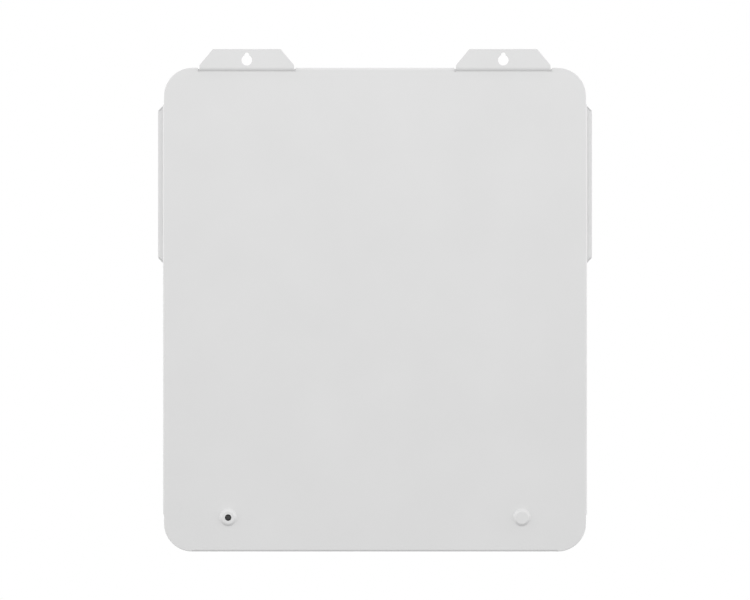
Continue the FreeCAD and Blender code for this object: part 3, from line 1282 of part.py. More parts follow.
# --- all sub-parts ------------------------------------------------------------------------------------
def sub_parts():
    """Every node's name and its solid or solids."""
    hood, cup = handle_hood(), grip_cup()
    return {
        "rear_panel": rear_panel(),
        "case_shell": case_shell(),
        "bay_roof": bay_roof(),
        "front_cover": front_cover(),
        "cover_gasket": cover_gasket(),
        "cover_screws": cover_screws(),
        "rivet_nuts": rivet_nuts(),
        "cable_cover": cable_cover(),
        "cable_cover_screws": cable_cover_screws(),
        "handle_hood_right": hood,
        "handle_hood_left": mirrored(hood),
        "grip_cup_right": cup,
        "grip_cup_left": mirrored(cup),
        "busbar_links": busbar_links(),
        "sense_board": sense_board(),
        "end_plates": end_plates(),
        "compression_straps": compression_straps(),
        "cell_shelf": cell_shelf(),
        "rear_insulation": rear_insulation(),
        "plus_bar": output_bar(1),
        "minus_bar": output_bar(-1),
        "cells_right": cell_column(1),
        "cells_left": cell_column(-1),
        "electronics_tray": electronics_tray(),
        "board_standoffs": board_standoffs(),
        "bms_board": bms_board(),
        "bms_mosfets": bms_mosfets(),
        "bms_heatsink": bms_heatsink(),
        "bms_connectors": bms_connectors(),
        "din_rail": din_rail(),
        "rail_pillars": rail_pillars(),
        "breaker_body": breaker_body(),
        "breaker_lever": breaker_lever(),
        "lever_pivot_pin": lever_pivot_pin(),
        "main_fuse": main_fuse(),
        "fuse_holder": fuse_holder(),
        "fuse_bolts": fuse_bolts(),
        "fuse_to_breaker_bar": fuse_to_breaker_bar(),
        "breaker_to_socket_bar": breaker_to_socket_bar(),
        "return_cable": return_cable(),
        "board_cable": board_cable(),
        "outlet_cable": outlet_cable(),
        "sense_loom": sense_loom(),
        "panel_loom": panel_loom(),
        "fascia": fascia(),
        "status_window": status_window(),
        "status_board": status_board(),
        "button_housing": button_housing(),
        "power_button": power_button(),
        "button_dome": button_dome(),
        "breaker_door": breaker_door(),
        "door_hinge_pin": door_hinge_pin(),
        "power_socket_plus": power_socket(PLUS_X),
        "power_socket_minus": power_socket(MINUS_X),
        "socket_screws": socket_screws(),
        "comm_ports": comm_ports(),
        "pressure_vent": pressure_vent(),
        "earth_stud": earth_stud(),
        "cable_tie_bar": cable_tie_bar(),
    }


def write(name, solids):
    """Saves one node, moved to the unit's own origin."""
    shapes = solids if isinstance(solids, list) else [solids]
    loose = [s for shape in shapes for s in shape.Solids]
    shape = loose[0] if len(loose) == 1 else Part.makeCompound(loose)
    shape = shape.translated(vec(0, 0, -ORIGIN_Z))
    if not shape.isValid():
        print("not valid:", name)
    shape.exportStep(f"parts/{name}.step")
    print(f"{name}: {len(loose)} solid(s), {shape.Volume / 1000:.1f} cm3")


os.makedirs("parts", exist_ok=True)
for part_name, part_solids in sub_parts().items():
    write(part_name, part_solids)
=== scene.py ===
"""Looks of the wall battery unit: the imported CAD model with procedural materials, and small pieces of its
own, such as the lights behind the smoked window, the grips' ribs and the data ports' contacts.

Metres, in the CAD model's frame: +Z up, +Y into the wall, the front cover facing -Y. The camera looks at
the wall side.
"""

import bpy
import bmesh
import math
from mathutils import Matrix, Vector


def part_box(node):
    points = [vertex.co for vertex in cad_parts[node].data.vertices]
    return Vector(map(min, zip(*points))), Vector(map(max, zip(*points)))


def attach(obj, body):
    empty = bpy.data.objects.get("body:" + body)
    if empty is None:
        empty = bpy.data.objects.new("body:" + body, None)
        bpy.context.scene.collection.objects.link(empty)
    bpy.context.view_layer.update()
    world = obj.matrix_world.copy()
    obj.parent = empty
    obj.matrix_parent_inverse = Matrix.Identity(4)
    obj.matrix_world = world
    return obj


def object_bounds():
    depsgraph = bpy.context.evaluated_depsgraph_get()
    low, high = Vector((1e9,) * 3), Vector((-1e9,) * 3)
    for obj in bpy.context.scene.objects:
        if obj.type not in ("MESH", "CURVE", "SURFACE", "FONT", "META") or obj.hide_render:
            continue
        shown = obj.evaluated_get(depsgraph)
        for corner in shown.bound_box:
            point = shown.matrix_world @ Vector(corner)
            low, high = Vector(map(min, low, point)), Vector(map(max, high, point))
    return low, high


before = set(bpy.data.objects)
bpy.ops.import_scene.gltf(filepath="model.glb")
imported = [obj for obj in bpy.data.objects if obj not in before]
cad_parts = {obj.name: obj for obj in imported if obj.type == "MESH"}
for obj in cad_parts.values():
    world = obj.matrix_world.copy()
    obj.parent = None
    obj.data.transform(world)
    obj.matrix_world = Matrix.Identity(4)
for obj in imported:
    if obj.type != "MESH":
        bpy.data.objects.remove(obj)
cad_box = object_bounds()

MM = 0.001

# --- light and camera ---------------------------------------------------------------------------------
CAMERA_DISTANCE = 8.0
VIEW_WIDTH = 0.8775  # what the frame's width takes in at the rear panel
SENSOR = 36.0
VIEW_DROP = 0.28055  # the camera's height below the keyholes
FLOOR_DROP = 0.16  # floor below the unit
FLOOR_RADIUS = 1.25
FLOOR_RIM = ((0.97, 0.0), (0.995, 0.004), (1.0, 0.014), (1.0, 0.03))  # share of the radius, drop
FLOOR_SEGMENTS = 160
# Name, place (its height counted from the unit's top), width and height, watts. All aim at the unit.
SOFTBOXES = (
    ("wall_side_softbox", (0.0, 1.8, 0.6), (2.2, 0.8), 9.0),
    ("front_softbox", (-0.9, -2.2, 1.1), (1.6, 1.2), 10.0),
    ("front_fill", (1.1, -2.0, -0.294), (0.6, 1.6), 2.5),
)

# --- sky, as brightness by direction ------------------------------------------------------------------
BACKGROUND = 1.0  # what the camera sees
SKY_LEVEL = 0.745  # light from straight ahead
SKY_SIDES = 1.08  # added from the left and the right
SKY_TOP = 0.02  # added from above
SKY_GROUND = -0.73  # and from below

# --- colours (linear) ---------------------------------------------------------------------------------
PAINT = (0.70, 0.70, 0.70)
# The hoods' powder coat: the same paint made lighter, as painted light that makes up for the shade on the
# hoods next to the panel's side flange.
HOOD_PAINTED_LIGHT = (0.79, 0.79, 0.79)
CUP_GREY = (0.030, 0.031, 0.033)
FASCIA_BLACK = (0.012, 0.012, 0.013)
LENS_BLACK = (0.004, 0.004, 0.005)
BREAKER_WHITE = (0.62, 0.62, 0.60)
PLASTIC_BLACK = (0.014, 0.014, 0.015)
SOCKET_ORANGE = (0.62, 0.13, 0.012)
ZINC = (0.60, 0.60, 0.59)
STAINLESS = (0.62, 0.62, 0.61)
COPPER = (0.72, 0.36, 0.22)
BRASS = (0.66, 0.47, 0.18)
GOLD = (0.83, 0.60, 0.22)
CELL_BLUE = (0.012, 0.055, 0.22)
ALUMINIUM = (0.72, 0.72, 0.73)
BOARD_GREEN = (0.008, 0.075, 0.022)
CERAMIC = (0.74, 0.71, 0.64)
INSULATION = (0.70, 0.67, 0.56)
FOAM = (0.018, 0.018, 0.018)
# Grey of the disc behind the holed dimple, which paints the shade inside the hole.
SHADE_DISC_GREY = (0.036, 0.036, 0.036)
FLOOR_PALE = (0.86, 0.86, 0.86)
CHARGE_GREEN = (0.10, 0.95, 0.30)
RING_BLUE = (0.25, 0.62, 1.0)
MARK_RED = (0.55, 0.02, 0.015)
MARK_GREEN = (0.02, 0.32, 0.06)

# --- own pieces: sizes, and places that the CAD model's boxes don't give ------------------------------
SHEET = 1.2 * MM
PANEL_STANDOFF = 3 * MM  # from the wall plane to the rear panel's face
FIXING = (171.8 * MM, -535.05 * MM)  # x and z of the holed dimple
# Dark disc behind the holed dimple's crown: painted shade inside the hole.
SHADE_DISC_RADIUS = 5.0 * MM
SHADE_DISC_THICKNESS = 0.6 * MM
SHADE_DISC_SEGMENTS = 48

WELD_PITCH = 56 * MM
WELD_RADIUS = 3.2 * MM
WELD_DEPTH = 0.12 * MM
WELD_LINE = 14 * MM  # the row's distance from the wall plane

CHARGE_LIGHTS = 5
CHARGE_LIGHTS_ON = 4
LIGHT_PITCH = 20 * MM
LIGHT_HALF = (7.2 * MM, 1.5 * MM)
LIGHT_CORNER = 1.4 * MM
LIGHT_RISE = 0.28 * MM
LIGHT_SINK = 0.12 * MM  # its foot, inside the window's face
FAULT_LIGHT = (1.5 * MM, 0.35 * MM)  # radii of the ring and of its section

BUTTON_RING = (4.2 * MM, 0.28 * MM)
BUTTON_RING_SINK = 0.12 * MM
BUTTON_MARK = (1.75 * MM, 0.16 * MM)
BUTTON_MARK_GAP = math.radians(38)  # half of the circle's opening
BUTTON_BAR = (0.5 * MM, 2.3 * MM)  # its ends above the button's middle

POLE_OFFSET = 9 * MM  # the breaker's poles, left and right of its middle
ON_LINE = (15 * MM, 19 * MM)
ON_LINE_RADIUS = 0.45 * MM
OFF_RING_DROP = 17 * MM
OFF_RING = (2.0 * MM, 0.4 * MM)

CUP_RIM = 8 * MM
CUP_RIBS = 7
RIB_PITCH = 7.5 * MM
RIB_RADIUS = 1.1 * MM
RIB_FROM_FLOOR = 9 * MM
RIB_FROM_MOUTH = 3 * MM

PORTS = 4
PORT_PITCH = 18 * MM
CONTACTS = 8
CONTACT_PITCH = 1.15 * MM
CONTACT_RADIUS = 0.22 * MM
CONTACT_ROOT = (3.9 * MM, 7.5 * MM)  # towards the wall from the block's middle, below its top
CONTACT_BEND = (3.4 * MM, 6 * MM)  # the same way from the middle, above its underside
CONTACT_TIP = (0.6 * MM, 11 * MM)

SEAL_HEIGHTS = (9 * MM, 13 * MM)  # above the socket's mouth
SEAL_RING = (15.6 * MM, 0.9 * MM)
CONTACT_CAP = (3.2 * MM, 9 * MM)  # its ends above the socket's mouth
CONTACT_CAP_RADIUS = 3.1 * MM

AXIS_X = Vector((1, 0, 0))
AXIS_Y = Vector((0, 1, 0))
AXIS_Z = Vector((0, 0, 1))


def centre_of(name):
    low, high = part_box(name)
    return (low + high) / 2


# --- material helpers ---------------------------------------------------------------------------------
class Material:
    """A Principled material with its node tree and the object's own coordinates at hand."""

    def __init__(self, name, colour, roughness, metallic=0.0, ior=1.5):
        self.data = bpy.data.materials.new(name)
        self.data.use_nodes = True
        self.data.diffuse_color = (*colour, 1.0)
        self.tree = self.data.node_tree
        self.shader = self.tree.nodes["Principled BSDF"]
        self.set("Base Color", (*colour, 1.0))
        self.set("Roughness", roughness)
        self.set("Metallic", metallic)
        self.set("IOR", ior)
        self.colour = colour
        self.place = self.node("ShaderNodeTexCoord").outputs["Object"]
        self.normal = None

    def node(self, kind, **settings):
        made = self.tree.nodes.new(kind)
        for key, value in settings.items():
            setattr(made, key, value)
        return made

    def link(self, start, end):
        self.tree.links.new(start, end)

    def set(self, socket, value):
        self.shader.inputs[socket].default_value = value

    def scaled(self, scale, place=None):
        """Coordinates multiplied along each axis."""
        mapping = self.node("ShaderNodeMapping")
        self.link(place or self.place, mapping.inputs["Vector"])
        mapping.inputs["Scale"].default_value = scale
        return mapping.outputs["Vector"]

    def noise(self, size, detail=2.0, roughness=0.5, place=None, distortion=0.0):
        """Noise whose features are this many metres across."""
        texture = self.node("ShaderNodeTexNoise")
        self.link(place or self.place, texture.inputs["Vector"])
        texture.inputs["Scale"].default_value = 1 / size
        texture.inputs["Detail"].default_value = detail
        texture.inputs["Roughness"].default_value = roughness
        texture.inputs["Distortion"].default_value = distortion
        return texture.outputs["Fac"]

    def pebbles(self, size, place=None):
        texture = self.node("ShaderNodeTexVoronoi")
        self.link(place or self.place, texture.inputs["Vector"])
        texture.inputs["Scale"].default_value = 1 / size
        return texture.outputs["Distance"]

    def math(self, operation, first, second=None):
        made = self.node("ShaderNodeMath", operation=operation)
        for i, value in enumerate((first, second)):
            if value is None:
                continue
            if isinstance(value, (int, float)):
                made.inputs[i].default_value = value
            else:
                self.link(value, made.inputs[i])
        return made.outputs["Value"]

    def ranged(self, value, low, high, start=0.0, end=1.0):
        """value from start..end stretched to low..high."""
        made = self.node("ShaderNodeMapRange")
        self.link(value, made.inputs["Value"])
        made.inputs["From Min"].default_value = start
        made.inputs["From Max"].default_value = end
        made.inputs["To Min"].default_value = low
        made.inputs["To Max"].default_value = high
        return made.outputs["Result"]

    def vary_colour(self, value, darker, lighter):
        """Base colour multiplied by darker..lighter as value goes from 0.25 to 0.75."""
        ramp = self.node("ShaderNodeMix", data_type="RGBA")
        self.link(self.ranged(value, 0.0, 1.0, 0.25, 0.75), ramp.inputs["Factor"])
        ramp.inputs["A"].default_value = (*(c * darker for c in self.colour), 1.0)
        ramp.inputs["B"].default_value = (*(min(c * lighter, 1.0) for c in self.colour), 1.0)
        self.link(ramp.outputs["Result"], self.shader.inputs["Base Color"])
        return ramp.outputs["Result"]

    def mix_colour(self, base, colour, factor):
        mix = self.node("ShaderNodeMix", data_type="RGBA")
        self.link(factor, mix.inputs["Factor"])
        self.link(base, mix.inputs["A"])
        mix.inputs["B"].default_value = (*colour, 1.0)
        self.link(mix.outputs["Result"], self.shader.inputs["Base Color"])
        return mix.outputs["Result"]

    def vary_roughness(self, value, low, high):
        self.link(self.ranged(value, low, high, 0.3, 0.7), self.shader.inputs["Roughness"])

    def bump(self, height, depth, strength=1.0):
        """Relief of this depth in metres, on top of any added before."""
        made = self.node("ShaderNodeBump")
        made.inputs["Strength"].default_value = strength
        made.inputs["Distance"].default_value = depth
        self.link(height, made.inputs["Height"])
        if self.normal:
            self.link(self.normal, made.inputs["Normal"])
        self.normal = made.outputs["Normal"]
        self.link(self.normal, self.shader.inputs["Normal"])


def powder_coat(name="powder_coat", colour=PAINT, welds=None):
    """Satin light-grey powder coat with fine orange peel. welds adds the marks of a row of spot welds."""
    m = Material(name, colour, 0.42)
    m.vary_colour(m.noise(90 * MM, 3.0), 0.985, 1.015)
    m.vary_roughness(m.noise(7 * MM, 3.0), 0.38, 0.47)
    m.bump(m.noise(1.6 * MM, 2.0, 0.45), 0.028 * MM)
    m.bump(m.noise(0.35 * MM, 1.0), 0.006 * MM)
    if welds:
        weld_marks(m, welds)
    return m.data


def weld_marks(m, welds):
    """Shallow round dents in a row along Z, on the faces that are this far from the middle plane."""
    split = m.node("ShaderNodeSeparateXYZ")
    m.link(m.place, split.inputs["Vector"])
    x, y, z = (split.outputs[axis] for axis in "XYZ")
    across = m.math("SUBTRACT", y, welds["y"])
    along = m.math("PINGPONG", m.math("SUBTRACT", z, welds["z"]), welds["pitch"] / 2)
    distance = m.math("SQRT", m.math("ADD", m.math("POWER", across, 2.0), m.math("POWER", along, 2.0)))
    dent = m.ranged(distance, 0.0, 1.0, welds["radius"] * 0.72, welds["radius"])
    side = m.math("GREATER_THAN", m.math("ABSOLUTE", x), welds["x"])
    depth = m.math("MULTIPLY", m.math("SUBTRACT", 1.0, dent), side)
    m.bump(m.math("SUBTRACT", 1.0, depth), WELD_DEPTH)


def moulded(name, colour, roughness=0.55, grain=0.55, depth=0.03):
    """Moulded plastic with a spark-eroded grain, sizes in millimetres."""
    m = Material(name, colour, roughness, ior=1.48)
    m.vary_colour(m.noise(25 * MM, 3.0), 0.93, 1.07)
    m.vary_roughness(m.noise(3 * MM, 2.0), roughness - 0.05, roughness + 0.06)
    m.bump(m.pebbles(grain * MM), depth * MM)
    m.bump(m.noise(grain * 0.4 * MM, 2.0), depth * 0.4 * MM)
    return m.data


def gloss_plastic(name, colour, roughness=0.22):
    m = Material(name, colour, roughness, ior=1.49)
    m.vary_colour(m.noise(18 * MM, 2.0), 0.95, 1.05)
    m.vary_roughness(m.noise(4 * MM, 4.0, 0.6), roughness - 0.04, roughness + 0.06)
    m.bump(m.noise(6 * MM, 1.0), 0.02 * MM)
    return m.data


def smoked_lens():
    m = Material("smoked_lens", LENS_BLACK, 0.06, ior=1.55)
    m.vary_colour(m.noise(30 * MM, 2.0), 0.9, 1.1)
    m.vary_roughness(m.noise(5 * MM, 5.0, 0.65), 0.05, 0.10)
    m.bump(m.noise(14 * MM, 1.0), 0.015 * MM)
    return m.data


def clear_plastic():
    """Polycarbonate of the breaker's door, with the faint waves and haze of a moulding."""
    m = Material("clear_plastic", (0.74, 0.79, 0.81), 0.03, ior=1.585)
    m.set("Transmission Weight", 1.0)
    m.vary_colour(m.noise(20 * MM, 2.0), 0.98, 1.02)
    m.vary_roughness(m.noise(6 * MM, 4.0, 0.6), 0.02, 0.06)
    m.bump(m.noise(12 * MM, 1.0), 0.02 * MM)
    return m.data


def zinc_plate(name="zinc_plate", colour=ZINC, roughness=0.34):
    """Zinc-plated steel: faint spangle, fine scratches and a slight blue and yellow cast."""
    m = Material(name, colour, roughness, metallic=1.0)
    base = m.vary_colour(m.noise(3.5 * MM, 3.0, 0.6), 0.88, 1.08)
    tint = m.ranged(m.noise(9 * MM, 2.0), 0.0, 0.22, 0.45, 0.7)
    m.mix_colour(base, (0.62, 0.59, 0.48), tint)
    m.vary_roughness(m.noise(1.2 * MM, 4.0, 0.6), roughness - 0.07, roughness + 0.1)
    m.bump(m.noise(0.5 * MM, 3.0, 0.6, m.scaled((1.0, 1.0, 0.15))), 0.008 * MM)
    return m.data


def turned_metal(name, colour, centre, axis="Y", roughness=0.26):
    """Metal with fine circular tool marks round an axis through centre."""
    m = Material(name, colour, roughness, metallic=1.0)
    mapping = m.node("ShaderNodeMapping", vector_type="POINT")
    m.link(m.place, mapping.inputs["Vector"])
    mapping.inputs["Location"].default_value = [-c for c in centre]
    rings = m.node("ShaderNodeTexWave", wave_type="RINGS", rings_direction=axis)
    m.link(mapping.outputs["Vector"], rings.inputs["Vector"])
    rings.inputs["Scale"].default_value = 900.0
    rings.inputs["Distortion"].default_value = 1.5
    rings.inputs["Detail"].default_value = 2.0
    m.vary_colour(m.noise(2 * MM, 3.0), 0.93, 1.05)
    m.vary_roughness(rings.outputs["Fac"], roughness - 0.05, roughness + 0.08)
    m.bump(rings.outputs["Fac"], 0.004 * MM)
    return m.data


def worn_copper(name="tinned_copper", colour=COPPER):
    m = Material(name, colour, 0.3, metallic=1.0)
    base = m.vary_colour(m.noise(11 * MM, 4.0, 0.6), 0.82, 1.08)
    m.mix_colour(base, (0.30, 0.13, 0.08), m.ranged(m.noise(5 * MM, 5.0, 0.65), 0.0, 0.35, 0.52, 0.75))
    m.vary_roughness(m.noise(2 * MM, 4.0, 0.6), 0.24, 0.42)
    m.bump(m.noise(0.6 * MM, 2.0, 0.5, m.scaled((1.0, 1.0, 0.1))), 0.01 * MM)
    return m.data


def cell_film():
    """Blue shrink film over an aluminium can, with faint wrinkles."""
    m = Material("cell_film", CELL_BLUE, 0.3, ior=1.5)
    m.vary_colour(m.noise(40 * MM, 3.0), 0.9, 1.1)
    m.vary_roughness(m.noise(9 * MM, 3.0), 0.24, 0.38)
    m.bump(m.noise(12 * MM, 3.0, 0.55, m.scaled((1.0, 1.0, 3.0))), 0.08 * MM)
    return m.data


def anodised():
    m = Material("anodised_aluminium", ALUMINIUM, 0.36, metallic=1.0)
    m.vary_colour(m.noise(16 * MM, 3.0), 0.95, 1.03)
    m.vary_roughness(m.noise(2 * MM, 3.0), 0.31, 0.42)
    m.bump(m.noise(0.4 * MM, 2.0, 0.5, m.scaled((0.1, 1.0, 1.0))), 0.008 * MM)
    return m.data


def circuit_board():
    """Solder mask over copper tracks."""
    m = Material("circuit_board", BOARD_GREEN, 0.3, ior=1.5)
    base = m.vary_colour(m.noise(30 * MM, 2.0), 0.92, 1.08)
    tracks = m.node("ShaderNodeTexBrick")
    m.link(m.place, tracks.inputs["Vector"])
    tracks.inputs["Scale"].default_value = 120.0
    tracks.inputs["Mortar Size"].default_value = 0.03
    m.mix_colour(base, (0.02, 0.14, 0.05), m.ranged(tracks.outputs["Fac"], 0.0, 0.8))
    m.vary_roughness(m.noise(5 * MM, 2.0), 0.26, 0.36)
    m.bump(tracks.outputs["Fac"], 0.03 * MM)
    return m.data


def foam():
    m = Material("closed_cell_foam", FOAM, 0.85, ior=1.4)
    m.vary_colour(m.noise(3 * MM, 3.0), 0.85, 1.2)
    m.vary_roughness(m.noise(2 * MM, 2.0), 0.78, 0.92)
    m.bump(m.pebbles(0.8 * MM), 0.1 * MM)
    return m.data


def ceramic():
    m = Material("fuse_ceramic", CERAMIC, 0.25, ior=1.6)
    m.vary_colour(m.noise(8 * MM, 4.0, 0.6), 0.94, 1.04)
    m.vary_roughness(m.noise(3 * MM, 3.0), 0.2, 0.34)
    m.bump(m.noise(2 * MM, 2.0), 0.02 * MM)
    return m.data


def sheet_insulation():
    m = Material("insulation_sheet", INSULATION, 0.6, ior=1.45)
    m.vary_colour(m.noise(2 * MM, 4.0, 0.65), 0.9, 1.08)
    m.vary_roughness(m.noise(4 * MM, 2.0), 0.55, 0.68)
    m.bump(m.noise(0.7 * MM, 3.0, 0.6), 0.03 * MM)
    return m.data


def glowing(name, colour, strength):
    """Diffuse light guide lit from behind."""
    m = Material(name, colour, 0.3, ior=1.49)
    m.vary_colour(m.noise(4 * MM, 2.0), 0.92, 1.0)
    m.bump(m.noise(1 * MM, 2.0), 0.01 * MM)
    m.set("Emission Color", (*colour, 1.0))
    m.set("Emission Strength", strength)
    return m.data


def pale_floor():
    m = Material("pale_floor", FLOOR_PALE, 0.65)
    m.vary_colour(m.noise(0.35, 3.0), 0.99, 1.01)
    m.vary_roughness(m.noise(0.08, 3.0), 0.6, 0.7)
    m.bump(m.noise(2 * MM, 3.0), 0.03 * MM)
    return m.data


# --- materials on the CAD nodes -----------------------------------------------------------------------
def dress(material, *names):
    for name in names:
        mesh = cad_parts[name].data
        mesh.materials.clear()
        mesh.materials.append(material)


def dress_all():
    low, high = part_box("rear_panel")
    welds = {
        "x": high.x - 0.4 * MM,
        "y": high.y - WELD_LINE,
        "z": (low.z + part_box("case_shell")[1].z) / 2,
        "pitch": WELD_PITCH,
        "radius": WELD_RADIUS,
    }
    dress(powder_coat("powder_coat_rear", PAINT, welds), "rear_panel")
    dress(powder_coat(), "case_shell", "bay_roof", "front_cover", "cable_cover")
    # The hoods get the lighter copy of the powder coat: painted light against the shade they lie in.
    dress(powder_coat("powder_coat_hoods_painted_light", HOOD_PAINTED_LIGHT), "handle_hood_right", "handle_hood_left")
    dress(moulded("cup_plastic", CUP_GREY, 0.6, 0.8, 0.05), "grip_cup_right", "grip_cup_left")
    dress(moulded("fascia_plastic", FASCIA_BLACK, 0.42, 0.45, 0.02), "fascia")
    dress(smoked_lens(), "status_window")
    dress(clear_plastic(), "breaker_door")
    dress(moulded("breaker_plastic", BREAKER_WHITE, 0.45, 0.4, 0.015), "breaker_body")
    dress(gloss_plastic("lever_plastic", PLASTIC_BLACK), "breaker_lever")
    dress(moulded("port_plastic", PLASTIC_BLACK, 0.5), "comm_ports", "power_socket_minus", "pressure_vent")
    dress(moulded("black_nylon", PLASTIC_BLACK, 0.45), "bms_connectors", "bms_mosfets", "fuse_holder")
    dress(moulded("socket_plastic_orange", SOCKET_ORANGE, 0.45), "power_socket_plus")
    dress(moulded("loom_sleeve", PLASTIC_BLACK, 0.6), "sense_loom", "panel_loom")
    dress(gloss_plastic("cable_sheath", PLASTIC_BLACK, 0.4), "return_cable", "board_cable", "outlet_cable")
    dress(foam(), "cover_gasket")
    dress(zinc_plate(), "cover_screws", "rivet_nuts", "cable_cover_screws", "socket_screws", "cable_tie_bar")
    dress(zinc_plate("plated_steel_inside", ZINC, 0.4), "board_standoffs", "rail_pillars", "din_rail",
          "door_hinge_pin", "lever_pivot_pin", "fuse_bolts", "button_dome", "electronics_tray", "cell_shelf",
          "compression_straps")
    dress(turned_metal("turned_stainless", STAINLESS, centre_of("power_button")), "button_housing",
          "power_button")
    dress(worn_copper(), "busbar_links", "plus_bar", "minus_bar", "fuse_to_breaker_bar",
          "breaker_to_socket_bar")
    dress(turned_metal("earth_brass", BRASS, centre_of("earth_stud"), "Z"), "earth_stud")
    dress(cell_film(), "cells_right", "cells_left")
    dress(anodised(), "end_plates", "bms_heatsink")
    dress(circuit_board(), "bms_board", "status_board", "sense_board")
    dress(ceramic(), "main_fuse")
    dress(sheet_insulation(), "rear_insulation")


def smooth_cad():
    """Smooth shading across the curved faces' facets, sharp at real edges."""
    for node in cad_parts.values():
        for polygon in node.data.polygons:
            polygon.use_smooth = True


# --- own pieces ---------------------------------------------------------------------------------------
def add_piece(name, bm, material, body):
    """Turns a bmesh into a piece that rides on a body."""
    mesh = bpy.data.meshes.new(name)
    bmesh.ops.recalc_face_normals(bm, faces=bm.faces)
    bm.to_mesh(mesh)
    bm.free()
    for polygon in mesh.polygons:
        polygon.use_smooth = True
    mesh.materials.append(material)
    piece = bpy.data.objects.new(name, mesh)
    bpy.context.scene.collection.objects.link(piece)
    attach(piece, body)
    return piece


def rounded_pad(bm, centre, half, corner, rise, steps=6):
    """Raised pad facing -Y with rounded corners and a rounded rim. half is its (x, z) half size."""
    inset = min(rise, corner) * 0.5
    rings = ((0.0, 0.0), (0.0, rise - inset), (inset * 0.3, rise - inset * 0.3), (inset, rise))
    loops = []
    for shrink, out in rings:
        radius = max(corner - shrink, 0.05 * MM)
        loop = []
        for quarter, (sx, sz) in enumerate(((1, 1), (-1, 1), (-1, -1), (1, -1))):
            cx = centre.x + sx * (half[0] - corner)
            cz = centre.z + sz * (half[1] - corner)
            for i in range(steps + 1):
                angle = math.pi / 2 * (quarter + i / steps)
                point = (cx + radius * math.cos(angle), centre.y - out, cz + radius * math.sin(angle))
                loop.append(bm.verts.new(point))
        loops.append(loop)
    for lower, upper in zip(loops, loops[1:]):
        for i in range(len(lower)):
            j = (i + 1) % len(lower)
            bm.faces.new((lower[i], lower[j], upper[j], upper[i]))
    bm.faces.new(loops[-1])
    bm.faces.new(loops[0][::-1])


def capsule_rib(bm, start, end, radius, segments=10, caps=4):
    """Rib with a round section and round ends, from start to end."""
    axis = (end - start).normalized()
    side = axis.orthogonal().normalized()
    other = axis.cross(side)
    rings = []
    stations = [(start, -1, i) for i in range(caps, 0, -1)] + [(start, 0, 0), (end, 0, 0)]
    stations += [(end, 1, i) for i in range(1, caps + 1)]
    for point, way, i in stations:
        angle = math.pi / 2 * i / (caps + 0.35)
        centre = point + axis * (way * radius * math.sin(angle))
        size = radius * math.cos(angle)
        ring = []
        for k in range(segments):
            turn = math.tau * k / segments
            ring.append(bm.verts.new(centre + (side * math.cos(turn) + other * math.sin(turn)) * size))
        rings.append(ring)
    for lower, upper in zip(rings, rings[1:]):
        for k in range(segments):
            j = (k + 1) % segments
            bm.faces.new((lower[k], lower[j], upper[j], upper[k]))
    bm.faces.new(rings[0][::-1])
    bm.faces.new(rings[-1])


def ring(bm, centre, radii, axis, segments=64, sides=12, start=0.0, sweep=math.tau):
    """Torus round the Y or Z axis, or part of one with closed ends. radii: the ring's and its section's."""
    radius, thickness = radii
    side = AXIS_X
    other = axis.cross(side)
    whole = sweep > math.tau - 1e-6
    count = segments if whole else segments + 1
    rings = []
    for i in range(count):
        angle = start + sweep * i / segments
        outward = side * math.cos(angle) + other * math.sin(angle)
        loop = []
        for k in range(sides):
            turn = math.tau * k / sides
            offset = outward * (math.cos(turn) * thickness) + axis * (math.sin(turn) * thickness)
            loop.append(bm.verts.new(centre + outward * radius + offset))
        rings.append(loop)
    pairs = zip(rings, rings[1:] + rings[:1]) if whole else zip(rings, rings[1:])
    for lower, upper in pairs:
        for k in range(sides):
            j = (k + 1) % sides
            bm.faces.new((lower[k], lower[j], upper[j], upper[k]))
    if not whole:
        bm.faces.new(rings[0][::-1])
        bm.faces.new(rings[-1])


def charge_lights(lens):
    """Bars that show the charge, and one dark fault light, flush in the smoked window."""
    middle = centre_of("status_window")
    middle.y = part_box("status_window")[0].y + LIGHT_SINK
    lit = glowing("charge_green", CHARGE_GREEN, 2.2)
    half_row = AXIS_X * (LIGHT_PITCH * CHARGE_LIGHTS / 2)
    for i in range(CHARGE_LIGHTS):
        bm = bmesh.new()
        rounded_pad(bm, middle - half_row + AXIS_X * (LIGHT_PITCH * i), LIGHT_HALF, LIGHT_CORNER, LIGHT_RISE)
        material = lit if i < CHARGE_LIGHTS_ON else lens
        add_piece(f"charge_light_{i + 1}", bm, material, "case")
    bm = bmesh.new()
    ring(bm, middle + half_row, FAULT_LIGHT, AXIS_Y, 32, 8)
    add_piece("fault_light", bm, lens, "case")


def button_mark():
    """Lit ring in the button's groove, with the broken circle and bar of a power switch in its middle."""
    centre = centre_of("power_button")
    centre.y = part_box("power_button")[0].y
    glow = glowing("button_light", RING_BLUE, 1.6)
    bm = bmesh.new()
    ring(bm, centre + AXIS_Y * BUTTON_RING_SINK, BUTTON_RING, AXIS_Y, 72, 10)
    add_piece("button_ring_light", bm, glow, "button")
    bm = bmesh.new()
    top = -math.pi / 2
    ring(bm, centre, BUTTON_MARK, AXIS_Y, 40, 8, top + BUTTON_MARK_GAP, math.tau - 2 * BUTTON_MARK_GAP)
    start, end = (centre + AXIS_Z * height for height in BUTTON_BAR)
    capsule_rib(bm, start, end, BUTTON_MARK[1])
    add_piece("button_power_mark", bm, glow, "button")


